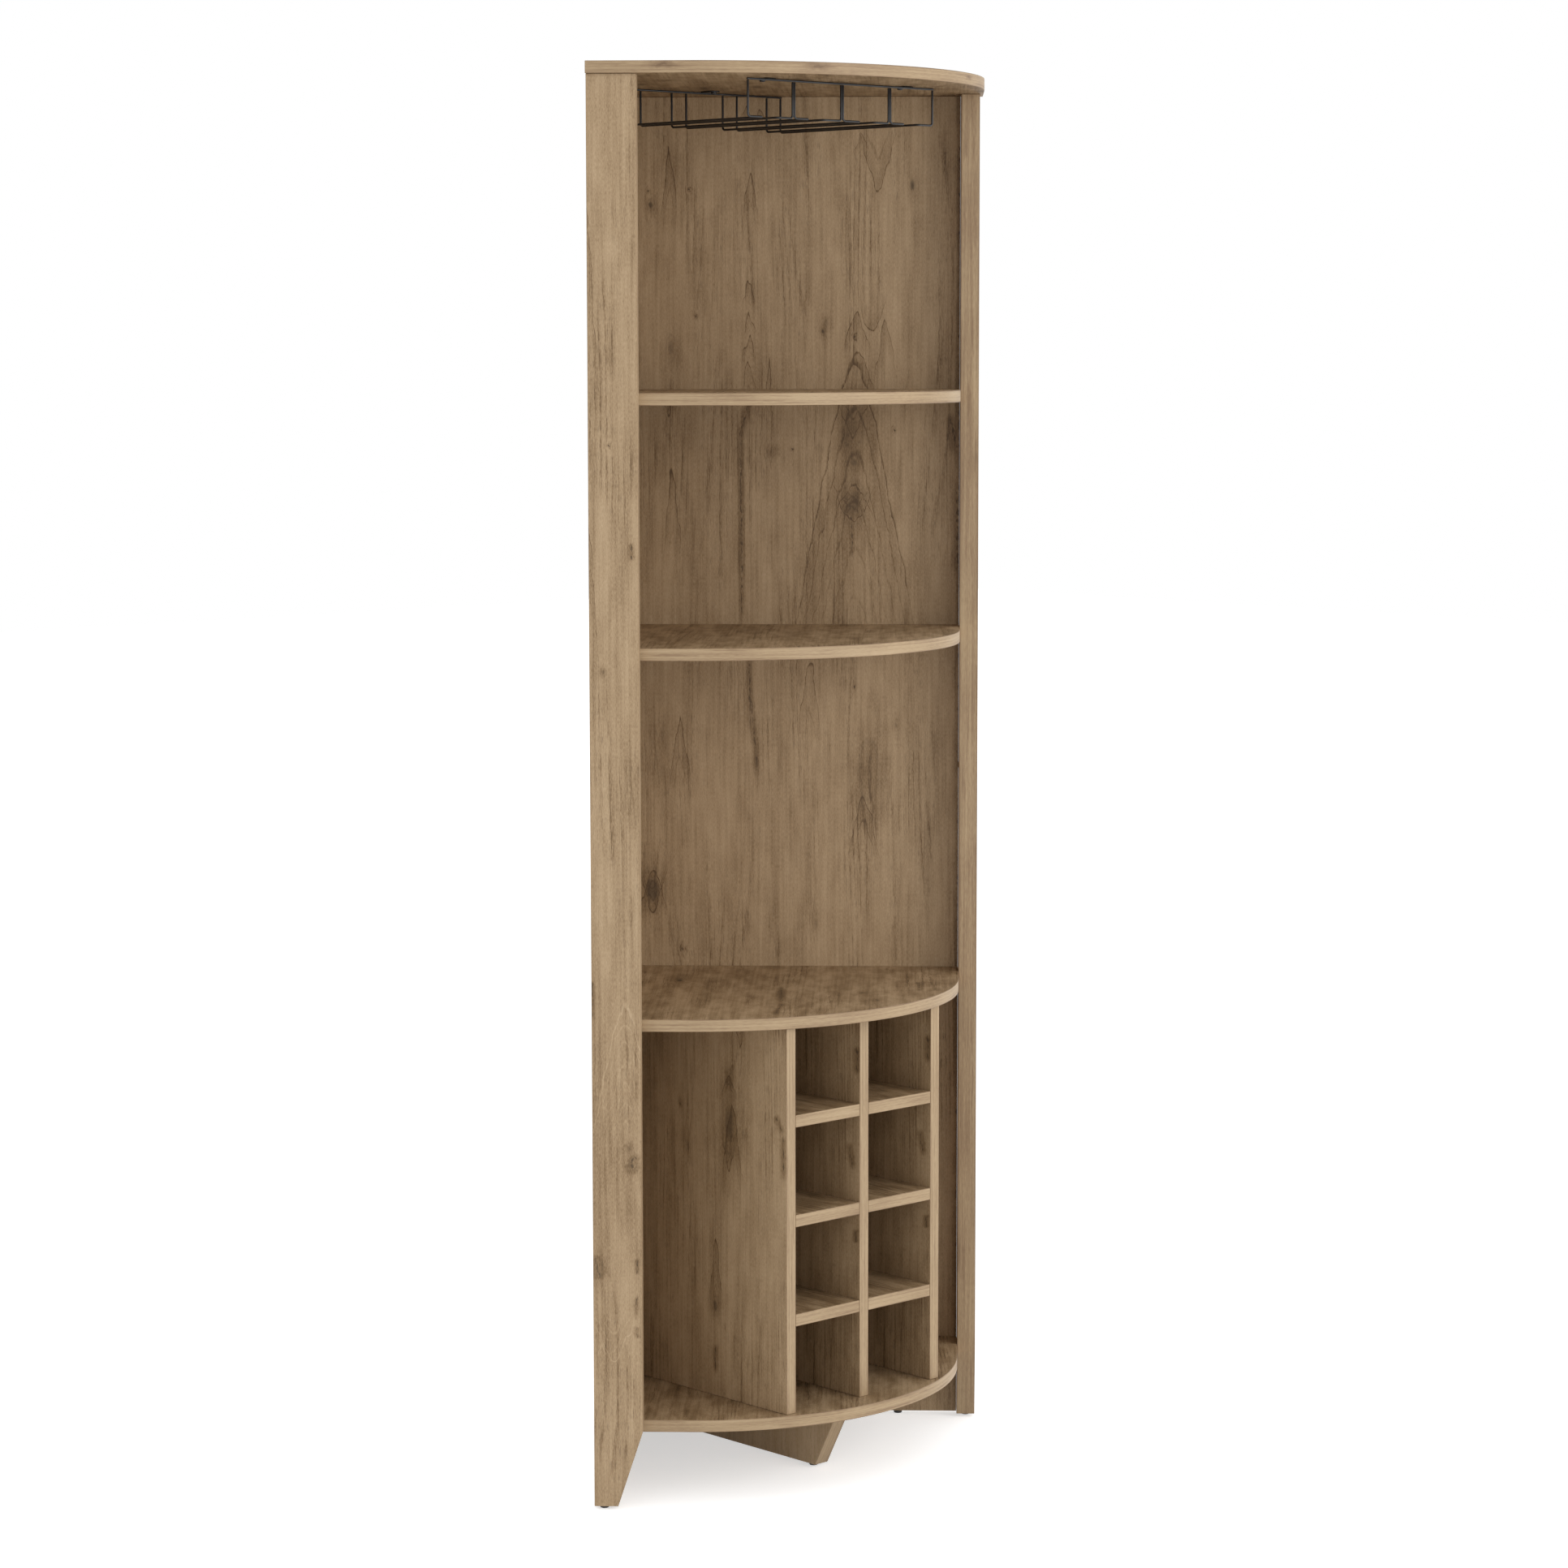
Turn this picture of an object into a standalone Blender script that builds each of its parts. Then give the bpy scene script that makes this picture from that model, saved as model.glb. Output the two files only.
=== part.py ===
# Corner bar cabinet. Two wall panels meet at a right angle and carry four curved shelves, a rack
# of eight bottle cubbies and a wire rack for stemmed glasses. Lengths are in metres, +Z is up.
# The back corner lies towards +Y, the curved front faces -Y, and the origin is on the floor,
# under the middle of the box around the cabinet.

import math

import bmesh
import bpy
from mathutils import Matrix, Vector

# Plan of the cabinet
side_length = 0.486             # along each wall, over the stile
panel_thickness = 0.0158
stile_width = 0.0613
stile_thickness = 0.0246
arc_centre_inset = 0.1206       # from both walls' outer faces to the centre of the curved fronts
top_front_overhang = 0.0047
top_back_overhang = 0.0005

# Boards and the clear heights between them, from the floor up
leg_clear_height = 0.0897
bottle_bay_height = 0.4972
display_bay_height = 0.4498
upper_bay_height = 0.2996
glass_bay_height = 0.3867
shelf_thickness = 0.0155
top_thickness = 0.015
joint_gap = 0.0003              # between pieces that touch

# Feet and glides
foot_width = 0.030
foot_taper_height = 0.0953
centre_leg_thickness = 0.0230
centre_leg_top_setback = 0.0651     # behind the bottom shelf's front
centre_leg_foot_setback = 0.1129
glide_radius = 0.0057
glide_height = 0.0045
glide_pin_radius = 0.001
glide_pin_length = 0.010
stile_glide_inset = 0.0118
wall_glide_inset = 0.0803
corner_glide_inset = 0.060
leg_glide_inset = 0.0145

# Bottle rack
rack_board_thickness = 0.0158
rack_column_width = 0.113
rack_setback = 0.033            # behind the front of the shelves
rack_rows = 4

# Wire rack for glasses
wire_radius = 0.0014
wire_bend_radius = 0.004
wire_rack_wall_gap = 0.0189     # from the wall panels to the middle of the rear rail
wire_rack_setback = 0.0746      # behind the front of the shelves
wire_drop_height = 0.0459
inner_slot_offset = 0.0446      # from the middle of the cabinet to a slot's middle
slot_pitch = 0.0785
slot_width = 0.025
end_foot_length = 0.0254
tab_width = 0.016
tab_length = 0.022
tab_thickness = 0.0015
tab_hole_inset = 0.006          # from the tab's free end
tab_offset = 0.120
tab_screw_radius = 0.0019
tab_screw_length = 0.0125
tab_screw_head_radius = 0.0038
tab_screw_head_height = 0.0022

# Hidden fittings
panel_screw_radius = 0.003
panel_screw_length = 0.050
panel_screw_head_radius = 0.0048
panel_screw_head_height = 0.003
dowel_radius = 0.004
dowel_length = 0.030
dowel_bite = 0.010              # length in the second board
cam_radius = 0.0074
cam_height = 0.0120
cam_drop = 0.034                # from the panel's top edge to the cam's middle
cam_bolt_radius = 0.003
cam_bolt_bite = 0.010
corner_screw_shares = (0.30, 0.70)
panel_screw_share = 0.5
stile_dowel_share = 0.5
cam_share = 0.5

# Fineness of the round shapes
arc_steps = 36
rod_sides = 8
disc_sides = 12
bend_steps = 4
smooth_angle = math.radians(40)
quarter_turn = math.radians(90)
cut_overrun = 0.002
merge_distance = 0.000001

# Worked out from the sizes above
root_two = math.sqrt(2)
inner_reach = side_length - stile_thickness
shelf_reach = inner_reach - joint_gap
shelf_front = root_two * arc_centre_inset + shelf_reach - arc_centre_inset
top_reach = side_length + top_front_overhang
top_front = root_two * arc_centre_inset + top_reach - arc_centre_inset
corner_y = (top_front - root_two * top_back_overhang) / 2
base_z = glide_height
bottom_shelf_z = base_z + leg_clear_height
bottle_bay_z = bottom_shelf_z + shelf_thickness
lower_shelf_z = bottle_bay_z + bottle_bay_height
display_bay_z = lower_shelf_z + shelf_thickness
middle_shelf_z = display_bay_z + display_bay_height
upper_bay_z = middle_shelf_z + shelf_thickness
upper_shelf_z = upper_bay_z + upper_bay_height
glass_bay_z = upper_shelf_z + shelf_thickness
panel_top_z = glass_bay_z + glass_bay_height
panel_height = panel_top_z - base_z
rack_front = shelf_front - rack_setback
divider_pitch = rack_column_width + rack_board_thickness
wall_middle = panel_thickness / 2

shelf_levels = {
    "bottom_shelf": bottom_shelf_z,
    "lower_shelf": lower_shelf_z,
    "middle_shelf": middle_shelf_z,
    "upper_shelf": upper_shelf_z,
}

up = Vector((0, 0, 1))
right_side = 1
left_side = -1
both_sides = (("left", left_side), ("right", right_side))

# The holes wanted in each board, noted by the fittings that go into it
holes = {}


def clear_scene():
    for scene_object in list(bpy.data.objects):
        bpy.data.objects.remove(scene_object, do_unlink=True)


def make_finish(name, colour, roughness, metallic=0.0):
    finish = bpy.data.materials.new(name)
    finish.use_nodes = True
    shader = finish.node_tree.nodes["Principled BSDF"]
    shader.inputs["Base Color"].default_value = (*colour, 1.0)
    shader.inputs["Roughness"].default_value = roughness
    shader.inputs["Metallic"].default_value = metallic
    return finish


def at_wall(side, along, out, z=0):
    # A point measured from the back corner: along a wall, and out from that wall's outer face
    return Vector((side * (along - out) / root_two, corner_y - (along + out) / root_two, z))


def at_middle(reach, across, z=0):
    # A point measured from the back corner: towards the front, and across to the right
    return Vector((across, corner_y - reach, z))


def along_wall(side):
    return Vector((side, -1, 0)).normalized()


def out_of_wall(side):
    return Vector((-side, -1, 0)).normalized()


def link(name, data):
    piece = bpy.data.objects.new(name, data)
    bpy.context.scene.collection.objects.link(piece)
    return piece


def finished_mesh(name, bm, finish, smooth=False):
    bmesh.ops.recalc_face_normals(bm, faces=bm.faces)
    mesh = bpy.data.meshes.new(name)
    bm.to_mesh(mesh)
    bm.free()
    mesh.materials.append(finish)
    if smooth:
        mesh.shade_smooth()
        mesh.set_sharp_from_angle(angle=smooth_angle)
    return mesh


def slab(name, outline, thickness, finish):
    # A flat board: an outline of points in one plane, thickened along a vector
    bm = bmesh.new()
    face = bm.faces.new([bm.verts.new(point) for point in outline])
    thick = bmesh.ops.extrude_face_region(bm, geom=[face])
    far_corners = [item for item in thick["geom"] if isinstance(item, bmesh.types.BMVert)]
    bmesh.ops.translate(bm, verts=far_corners, vec=thickness)
    piece = link(name, finished_mesh(name, bm, finish))
    drill(piece)
    return piece


def raised(outline, z):
    return [point + up * z for point in outline]


def turned(profile, sides):
    # A solid turned about Z, from radius and height pairs that begin and end on the axis
    bm = bmesh.new()
    points = [bm.verts.new((radius, 0, height)) for radius, height in profile]
    for first, second in zip(points, points[1:]):
        bm.edges.new((first, second))
    bmesh.ops.spin(bm, geom=bm.verts[:] + bm.edges[:], cent=(0, 0, 0), axis=up,
                   angle=math.tau, steps=sides, use_merge=True)
    bmesh.ops.remove_doubles(bm, verts=bm.verts, dist=merge_distance)
    bmesh.ops.recalc_face_normals(bm, faces=bm.faces)
    return bm


def pin_profile(head_radius, head_height, radius, length):
    # A round head with a round shank, measured from the head's outer face
    return (
        (0, 0),
        (head_radius, 0),
        (head_radius, head_height),
        (radius, head_height),
        (radius, length),
        (0, length),
    )


def rod_profile(radius, length):
    return ((0, 0), (radius, 0), (radius, length), (0, length))


def turned_mesh(name, profile, sides, finish):
    return finished_mesh(name, turned(profile, sides), finish, smooth=True)


def facing(direction):
    return direction.to_track_quat("Z", "Y")


def place(name, mesh, start, direction):
    piece = link(name, mesh)
    piece.location = start
    piece.rotation_euler = facing(direction).to_euler()
    return piece


def note_hole(board_name, start, direction, *steps, sides=rod_sides):
    # A hole from a board's face, with a radius and a depth for each of its steps
    holes.setdefault(board_name, []).append((start, direction, steps, sides))


def drill(piece):
    # One cutter, out of sight, holds all of a board's holes
    if piece.name not in holes:
        return
    cutter_mesh = bpy.data.meshes.new(piece.name + "_holes")
    everything = bmesh.new()
    for start, direction, steps, sides in holes[piece.name]:
        profile = [(0, -cut_overrun)]
        reached = -cut_overrun
        for radius, depth in steps:
            profile += [(radius, reached), (radius, depth)]
            reached = depth
        profile.append((0, reached))
        hole = turned(profile, sides)
        hole.transform(Matrix.Translation(start) @ facing(direction).to_matrix().to_4x4())
        hole.to_mesh(cutter_mesh)
        hole.free()
        everything.from_mesh(cutter_mesh)
    everything.to_mesh(cutter_mesh)
    everything.free()
    cutter = link(cutter_mesh.name, cutter_mesh)
    cutter.hide_render = True
    cutter.display_type = "WIRE"
    cut = piece.modifiers.new("holes", "BOOLEAN")
    cut.operation = "DIFFERENCE"
    cut.solver = "EXACT"
    cut.use_self = True
    cut.object = cutter


def front_curve(reach):
    # The quarter round front, from the right wall's side to the left wall's
    radius = reach - arc_centre_inset
    points = []
    for step in range(arc_steps + 1):
        turn = quarter_turn * step / arc_steps
        along = arc_centre_inset + radius * math.cos(turn)
        out = arc_centre_inset + radius * math.sin(turn)
        points.append(at_wall(right_side, along, out))
    return points


def curved_outline(back, reach):
    start = [at_wall(right_side, back, back), at_wall(right_side, reach, back)]
    return start + front_curve(reach) + [at_wall(right_side, back, reach)]


def back_line(across):
    # How far the inner faces of the wall panels lie in front of the corner
    return root_two * (panel_thickness + joint_gap) + abs(across)


def make_glides(nylon):
    # A round pad under each upright board, with a pin up into its end grain
    pad_top = glide_height - joint_gap
    profile = pin_profile(glide_radius, pad_top, glide_pin_radius, pad_top + glide_pin_length)
    mesh = turned_mesh("floor_glide", profile, disc_sides, nylon)
    spots = []
    for name, side in both_sides:
        stile_middle = inner_reach + stile_thickness / 2
        spots.append(("stile_" + name, "glide_stile_" + name,
                      at_wall(side, stile_middle, stile_glide_inset)))
        spots.append(("wall_panel_" + name, "glide_wall_" + name,
                      at_wall(side, inner_reach - wall_glide_inset, wall_middle)))
        spots.append(("wall_panel_" + name, "glide_corner_" + name,
                      at_wall(side, panel_thickness + corner_glide_inset, wall_middle)))
    leg_reach = shelf_front - centre_leg_foot_setback - leg_glide_inset
    spots.append(("centre_leg", "glide_centre_leg", at_middle(leg_reach, 0)))
    for board_name, glide_name, spot in spots:
        place(glide_name, mesh, spot, up)
        note_hole(board_name, spot + up * base_z, up, (glide_pin_radius + joint_gap, glide_pin_length))


def make_panel_screws(steel):
    # Sunk heads on the hidden outer faces, shanks on into the edges of the shelves
    profile = pin_profile(panel_screw_head_radius, panel_screw_head_height,
                          panel_screw_radius, panel_screw_length)
    mesh = turned_mesh("panel_screw", profile, rod_sides, steel)
    sunk = (panel_screw_head_radius + joint_gap, panel_screw_head_height + joint_gap)
    shank = panel_screw_radius + joint_gap
    through = (shank, panel_thickness + cut_overrun)
    blind = (shank, panel_screw_length - panel_thickness + joint_gap)
    wanted = []
    for name, side in both_sides:
        for shelf, z_low in shelf_levels.items():
            along = panel_thickness + (inner_reach - panel_thickness) * panel_screw_share
            start = at_wall(side, along, 0, z_low + shelf_thickness / 2)
            wanted.append((f"screw_{shelf}_{name}", name, side, shelf, start))
    for number, share in enumerate(corner_screw_shares, start=1):
        start = at_wall(right_side, wall_middle, 0, base_z + panel_height * share)
        wanted.append((f"screw_corner_{number}", "right", right_side, "wall_panel_left", start))
    for screw_name, name, side, inner_board, start in wanted:
        direction = out_of_wall(side)
        place(screw_name, mesh, start, direction)
        note_hole("wall_panel_" + name, start, direction, sunk, through)
        note_hole(inner_board, start + direction * panel_thickness, direction, blind)


def make_dowels(beech):
    # Each stile is pegged to its wall panel and to the top
    mesh = turned_mesh("dowel", rod_profile(dowel_radius, dowel_length), rod_sides, beech)
    loose = dowel_radius + joint_gap
    first_depth = dowel_length - dowel_bite
    for name, side in both_sides:
        stile = "stile_" + name
        middle_z = base_z + panel_height * stile_dowel_share
        seam = at_wall(side, shelf_reach, wall_middle, middle_z)
        wall_seam = (f"dowel_{stile}", "wall_panel_" + name, stile, seam, along_wall(side))
        seam = at_wall(side, inner_reach + stile_thickness / 2, stile_width / 2, panel_top_z)
        top_seam = (f"dowel_top_{name}", stile, "top_panel", seam, up)
        for dowel_name, first, second, seam, direction in (wall_seam, top_seam):
            place(dowel_name, mesh, seam - direction * first_depth, direction)
            note_hole(first, seam, -direction, (loose, first_depth + joint_gap))
            note_hole(second, seam, direction, (loose, dowel_bite + 2 * joint_gap))


def make_cams(zinc, steel):
    # A cam lock in each wall panel's outer face draws the top down by a bolt
    cam_z = panel_top_z - cam_drop
    bolt_z = cam_z + cam_radius + 2 * joint_gap
    bolt_length = panel_top_z + cam_bolt_bite - bolt_z
    cam = turned_mesh("cam_lock", rod_profile(cam_radius, cam_height), disc_sides, zinc)
    bolt = turned_mesh("cam_bolt", rod_profile(cam_bolt_radius, bolt_length), rod_sides, steel)
    loose = cam_bolt_radius + joint_gap
    for name, side in both_sides:
        panel = "wall_panel_" + name
        along = inner_reach * cam_share
        face = at_wall(side, along, 0, cam_z)
        inward = out_of_wall(side)
        place("cam_lock_" + name, cam, face, inward)
        pocket = (cam_radius + joint_gap, cam_height + joint_gap)
        note_hole(panel, face, inward, pocket, sides=disc_sides)
        place("cam_bolt_" + name, bolt, at_wall(side, along, wall_middle, bolt_z), up)
        edge = at_wall(side, along, wall_middle, panel_top_z)
        note_hole(panel, edge, -up, (loose, cam_drop - cam_radius))
        note_hole("top_panel", edge, up, (loose, cam_bolt_bite + joint_gap))


def slot_middles():
    outer_slot_offset = inner_slot_offset + slot_pitch
    return (-outer_slot_offset, -inner_slot_offset, inner_slot_offset, outer_slot_offset)


def wire_places():
    # Where each wire comes down from the front rail, and where it runs along its slot
    beside = wire_radius + joint_gap / 2
    middle_drop = inner_slot_offset + slot_pitch / 2
    end_drop = inner_slot_offset + slot_pitch + slot_width / 2 + end_foot_length
    drops = (
        -end_drop,
        -middle_drop - beside,
        -middle_drop + beside,
        -beside,
        beside,
        middle_drop - beside,
        middle_drop + beside,
        end_drop,
    )
    runs = []
    for middle in slot_middles():
        runs += [middle - slot_width / 2, middle + slot_width / 2]
    return list(zip(drops, runs))


def bent_path(corners):
    # The corners of a wire, each rounded to the bending radius
    path = [corners[0]]
    for before, corner, after in zip(corners, corners[1:], corners[2:]):
        inward = (before - corner).normalized()
        onward = (after - corner).normalized()
        centre = corner + (inward + onward) * wire_bend_radius
        for step in range(bend_steps + 1):
            turn = quarter_turn * step / bend_steps
            spoke = -onward * math.cos(turn) - inward * math.sin(turn)
            path.append(centre + spoke * wire_bend_radius)
    path.append(corners[-1])
    return path


def make_wire(name, path, finish):
    curve = bpy.data.curves.new(name, "CURVE")
    curve.dimensions = "3D"
    curve.bevel_depth = wire_radius
    curve.bevel_resolution = 2
    curve.use_fill_caps = True
    spline = curve.splines.new("POLY")
    spline.points.add(len(path) - 1)
    for point, spot in zip(spline.points, path):
        point.co = (*spot, 1.0)
    curve.materials.append(finish)
    return link(name, curve)


def make_glass_rack(black):
    tab_z = panel_top_z - tab_thickness
    rail_z = panel_top_z - tab_thickness / 2 - wire_radius
    wire_top_z = rail_z - wire_radius - joint_gap
    run_z = rail_z - wire_drop_height
    places = wire_places()
    last_drop, last_run = places[-1]
    front = shelf_front - wire_rack_setback
    back = back_line(last_run + wire_radius) + wire_rack_wall_gap
    for name, reach, last_wire in (("front", front, last_drop), ("rear", back, last_run)):
        end = last_wire + wire_radius
        ends = [at_middle(reach, -end, rail_z), at_middle(reach, end, rail_z)]
        make_wire("glass_rail_" + name, ends, black)
    for number, (drop, run) in enumerate(places, start=1):
        corners = [
            at_middle(front, drop, wire_top_z),
            at_middle(front, drop, run_z),
            at_middle(front, run, run_z),
            at_middle(back, run, run_z),
            at_middle(back, run, wire_top_z),
        ]
        make_wire(f"glass_wire_{number}", bent_path(corners), black)
    # Flat tabs beside the rails hold them up to the top, each by one screw
    profile = pin_profile(tab_screw_head_radius, tab_screw_head_height,
                          tab_screw_radius, tab_screw_head_height + tab_screw_length)
    mesh = turned_mesh("tab_screw", profile, rod_sides, black)
    shank = tab_screw_radius + joint_gap
    towards_back = -1
    towards_front = 1
    tabs = (
        ("front_left", front, -tab_offset, towards_back),
        ("front_right", front, tab_offset, towards_back),
        ("rear", back, 0, towards_front),
    )
    for name, rail, across, towards in tabs:
        near = rail + towards * (wire_radius + joint_gap)
        far = near + towards * tab_length
        hole = at_middle(far - towards * tab_hole_inset, across, tab_z)
        note_hole("tab_" + name, hole, up, (shank, tab_thickness + cut_overrun))
        note_hole("top_panel", hole, up, (shank, tab_screw_length + joint_gap))
        outline = [
            at_middle(near, across - tab_width / 2, tab_z),
            at_middle(near, across + tab_width / 2, tab_z),
            at_middle(far, across + tab_width / 2, tab_z),
            at_middle(far, across - tab_width / 2, tab_z),
        ]
        slab("tab_" + name, outline, up * tab_thickness, black)
        place("tab_screw_" + name, mesh, hole - up * (joint_gap + tab_screw_head_height), up)


def make_wall_panels(oak):
    # The right panel laps over the back edge of the left one
    starts = {"left": panel_thickness + joint_gap, "right": 0}
    for name, side in both_sides:
        start = starts[name]
        outline = [
            at_wall(side, start, 0, base_z),
            at_wall(side, shelf_reach, 0, base_z),
            at_wall(side, shelf_reach, panel_thickness, base_z),
            at_wall(side, start, panel_thickness, base_z),
        ]
        slab("wall_panel_" + name, outline, up * panel_height, oak)


def make_stiles(oak):
    # An upright board across the front end of each wall panel, cut away to a narrow foot
    for name, side in both_sides:
        outline = [
            at_wall(side, inner_reach, 0, base_z),
            at_wall(side, inner_reach, foot_width, base_z),
            at_wall(side, inner_reach, stile_width, base_z + foot_taper_height),
            at_wall(side, inner_reach, stile_width, panel_top_z),
            at_wall(side, inner_reach, 0, panel_top_z),
        ]
        slab("stile_" + name, outline, along_wall(side) * stile_thickness, oak)


def make_shelves(oak):
    outline = curved_outline(panel_thickness + joint_gap, shelf_reach)
    for name, z_low in shelf_levels.items():
        slab(name, raised(outline, z_low), up * shelf_thickness, oak)


def make_top(oak):
    outline = curved_outline(-top_back_overhang, top_reach)
    slab("top_panel", raised(outline, panel_top_z + joint_gap), up * top_thickness, oak)


def make_centre_leg(oak):
    # A standing board on the middle line, whose front edge leans out towards the top
    back = back_line(centre_leg_thickness / 2)
    top_z = bottom_shelf_z - joint_gap
    left_face = -centre_leg_thickness / 2
    outline = [
        at_middle(back, left_face, base_z),
        at_middle(shelf_front - centre_leg_foot_setback, left_face, base_z),
        at_middle(shelf_front - centre_leg_top_setback, left_face, top_z),
        at_middle(back, left_face, top_z),
    ]
    slab("centre_leg", outline, Vector((centre_leg_thickness, 0, 0)), oak)


def rack_board_levels():
    # The undersides of the boards in each column, from the lowest up
    row_pitch = (bottle_bay_height + rack_board_thickness) / rack_rows
    return [bottle_bay_z + row_pitch * row - rack_board_thickness for row in range(1, rack_rows)]


def rack_outline(west, east, z):
    # Square at the front, and cut to the wall panels at the back
    return [
        at_middle(rack_front, west, z),
        at_middle(rack_front, east, z),
        at_middle(back_line(east), east, z),
        at_middle(back_line(west), west, z),
    ]


def make_bottle_rack(oak):
    half = rack_board_thickness / 2
    divider_z = bottle_bay_z + joint_gap
    divider_height = up * (bottle_bay_height - 2 * joint_gap)
    for name, across in (("left", -divider_pitch), ("middle", 0), ("right", divider_pitch)):
        outline = rack_outline(across - half, across + half, divider_z)
        slab("rack_divider_" + name, outline, divider_height, oak)
    near = half + joint_gap
    far = half + rack_column_width - joint_gap
    for name, side in both_sides:
        for row, z in enumerate(rack_board_levels(), start=1):
            outline = rack_outline(side * near, side * far, z)
            slab(f"rack_shelf_{name}_{row}", outline, up * rack_board_thickness, oak)


def main():
    clear_scene()
    oak = make_finish("oak_board", (0.36, 0.265, 0.165), 0.55)
    black = make_finish("black_wire", (0.012, 0.012, 0.013), 0.4)
    steel = make_finish("bright_steel", (0.6, 0.6, 0.6), 0.35, 1.0)
    zinc = make_finish("cast_zinc", (0.5, 0.5, 0.5), 0.45, 1.0)
    beech = make_finish("beech", (0.55, 0.4, 0.24), 0.7)
    nylon = make_finish("dark_nylon", (0.03, 0.028, 0.026), 0.5)
    # The fittings come first, because they note the holes that the boards are drilled with
    make_glides(nylon)
    make_panel_screws(steel)
    make_dowels(beech)
    make_cams(zinc, steel)
    make_glass_rack(black)
    make_wall_panels(oak)
    make_stiles(oak)
    make_shelves(oak)
    make_top(oak)
    make_centre_leg(oak)
    make_bottle_rack(oak)


main()
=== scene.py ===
import math

import bmesh
import bpy
from mathutils import Matrix, Vector


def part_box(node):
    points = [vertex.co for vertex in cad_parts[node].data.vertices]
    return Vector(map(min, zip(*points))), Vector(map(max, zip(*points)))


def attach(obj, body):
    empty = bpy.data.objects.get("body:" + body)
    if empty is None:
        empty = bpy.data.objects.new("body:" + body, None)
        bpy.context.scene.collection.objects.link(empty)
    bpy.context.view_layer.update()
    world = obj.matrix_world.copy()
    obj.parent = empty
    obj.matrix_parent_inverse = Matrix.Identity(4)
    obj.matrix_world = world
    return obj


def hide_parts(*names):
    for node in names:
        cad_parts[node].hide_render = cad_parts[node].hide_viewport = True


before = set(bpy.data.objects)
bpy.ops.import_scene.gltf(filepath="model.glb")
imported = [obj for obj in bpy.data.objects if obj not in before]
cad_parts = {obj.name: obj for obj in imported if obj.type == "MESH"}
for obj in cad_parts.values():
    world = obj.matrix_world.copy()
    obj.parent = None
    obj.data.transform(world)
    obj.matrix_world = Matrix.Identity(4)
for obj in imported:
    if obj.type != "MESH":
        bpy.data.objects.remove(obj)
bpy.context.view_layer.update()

mm = 0.001
up = Vector((0, 0, 1))
right = 1
left = -1
sideNames = {"left": left, "right": right}
cabinet = {
    "cornerY": 0.26997,         # the back corner, where both walls' outer faces meet
    "arcReach": 0.17055,        # from the corner to the centre of the round fronts
    "arcRadius": 0.34,
}
corner = Vector((0, cabinet["cornerY"], 0))
arcCentre = Vector((0, cabinet["cornerY"] - cabinet["arcReach"], 0))


def alongWall(side):
    return Vector((side, -1, 0)).normalized()


def outOfWall(side):
    return Vector((-side, -1, 0)).normalized()


# Nodes for the finishes

def feed(tree, socket, value):
    if isinstance(value, bpy.types.NodeSocket):
        tree.links.new(value, socket)
    else:
        socket.default_value = value


def fill(tree, sockets, **values):
    for name, value in values.items():
        feed(tree, sockets[name], value)


def newStep(tree, kind, *terms, **settings):
    # A node with its settings, and its first inputs filled in order
    step = tree.nodes.new("ShaderNode" + kind)
    for name, value in settings.items():
        setattr(step, name, value)
    for socket, term in zip(step.inputs, terms):
        feed(tree, socket, term)
    return step


def calc(tree, operation, *terms, clamp=False):
    return newStep(tree, "Math", *terms, operation=operation, use_clamp=clamp).outputs[0]


def times(tree, first, second):
    return calc(tree, "MULTIPLY", first, second)


def larger(tree, first, second):
    return calc(tree, "MAXIMUM", first, second)


def swing(tree, value, amount):
    # A noise's swing about its middle
    return times(tree, calc(tree, "SUBTRACT", value, 0.5), amount)


def total(tree, terms):
    result = terms[0]
    for term in terms[1:]:
        result = calc(tree, "ADD", result, term)
    return result


def vectorCalc(tree, operation, *terms, output="Vector"):
    return newStep(tree, "VectorMath", *terms, operation=operation).outputs[output]


def scaled(tree, vector, amount):
    step = newStep(tree, "VectorMath", vector, operation="SCALE")
    feed(tree, step.inputs["Scale"], amount)
    return step.outputs[0]


def dotted(tree, first, second):
    return vectorCalc(tree, "DOT_PRODUCT", first, second, output="Value")


def ease(tree, value, low, high, newLow=0.0, newHigh=1.0):
    terms = (value, low, high, newLow, newHigh)
    return newStep(tree, "MapRange", *terms, interpolation_type="SMOOTHSTEP").outputs[0]


def blendColours(tree, share, first, second):
    step = newStep(tree, "Mix", share, data_type="RGBA")
    feed(tree, step.inputs[6], first)
    feed(tree, step.inputs[7], second)
    return step.outputs[2]


def ramp(tree, value, stops):
    step = newStep(tree, "ValToRGB", value)
    elements = step.color_ramp.elements
    while len(elements) < len(stops):
        elements.new(0.5)
    for element, (position, colour) in zip(elements, stops):
        element.position = position
        element.color = (*colour, 1)
    return step.outputs[0]


def noise(tree, place, stretch=None, offset=(0, 0, 0), detail=2.0, roughness=0.5, scale=1.0, output="Fac"):
    if stretch:
        place = newStep(tree, "Mapping", place, offset, (0, 0, 0), stretch).outputs[0]
    step = newStep(tree, "TexNoise", place)
    fill(tree, step.inputs, Scale=scale, Detail=detail, Roughness=roughness)
    return step.outputs[output]


def newGroup(name, inputs, outputs):
    # The names of the inputs and outputs come by kind. An input that nothing feeds is 0
    tree = bpy.data.node_groups.new(name, "ShaderNodeTree")
    for way, kinds in (("INPUT", inputs), ("OUTPUT", outputs)):
        for kind, names in kinds.items():
            for socketName in names:
                tree.interface.new_socket(socketName, in_out=way, socket_type="NodeSocket" + kind)
    given = tree.nodes.new("NodeGroupInput").outputs
    result = tree.nodes.new("NodeGroupOutput").inputs
    return tree, given, result


def useGroup(tree, group, **values):
    step = tree.nodes.new("ShaderNodeGroup")
    step.node_tree = group
    fill(tree, step.inputs, **values)
    return step.outputs


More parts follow.
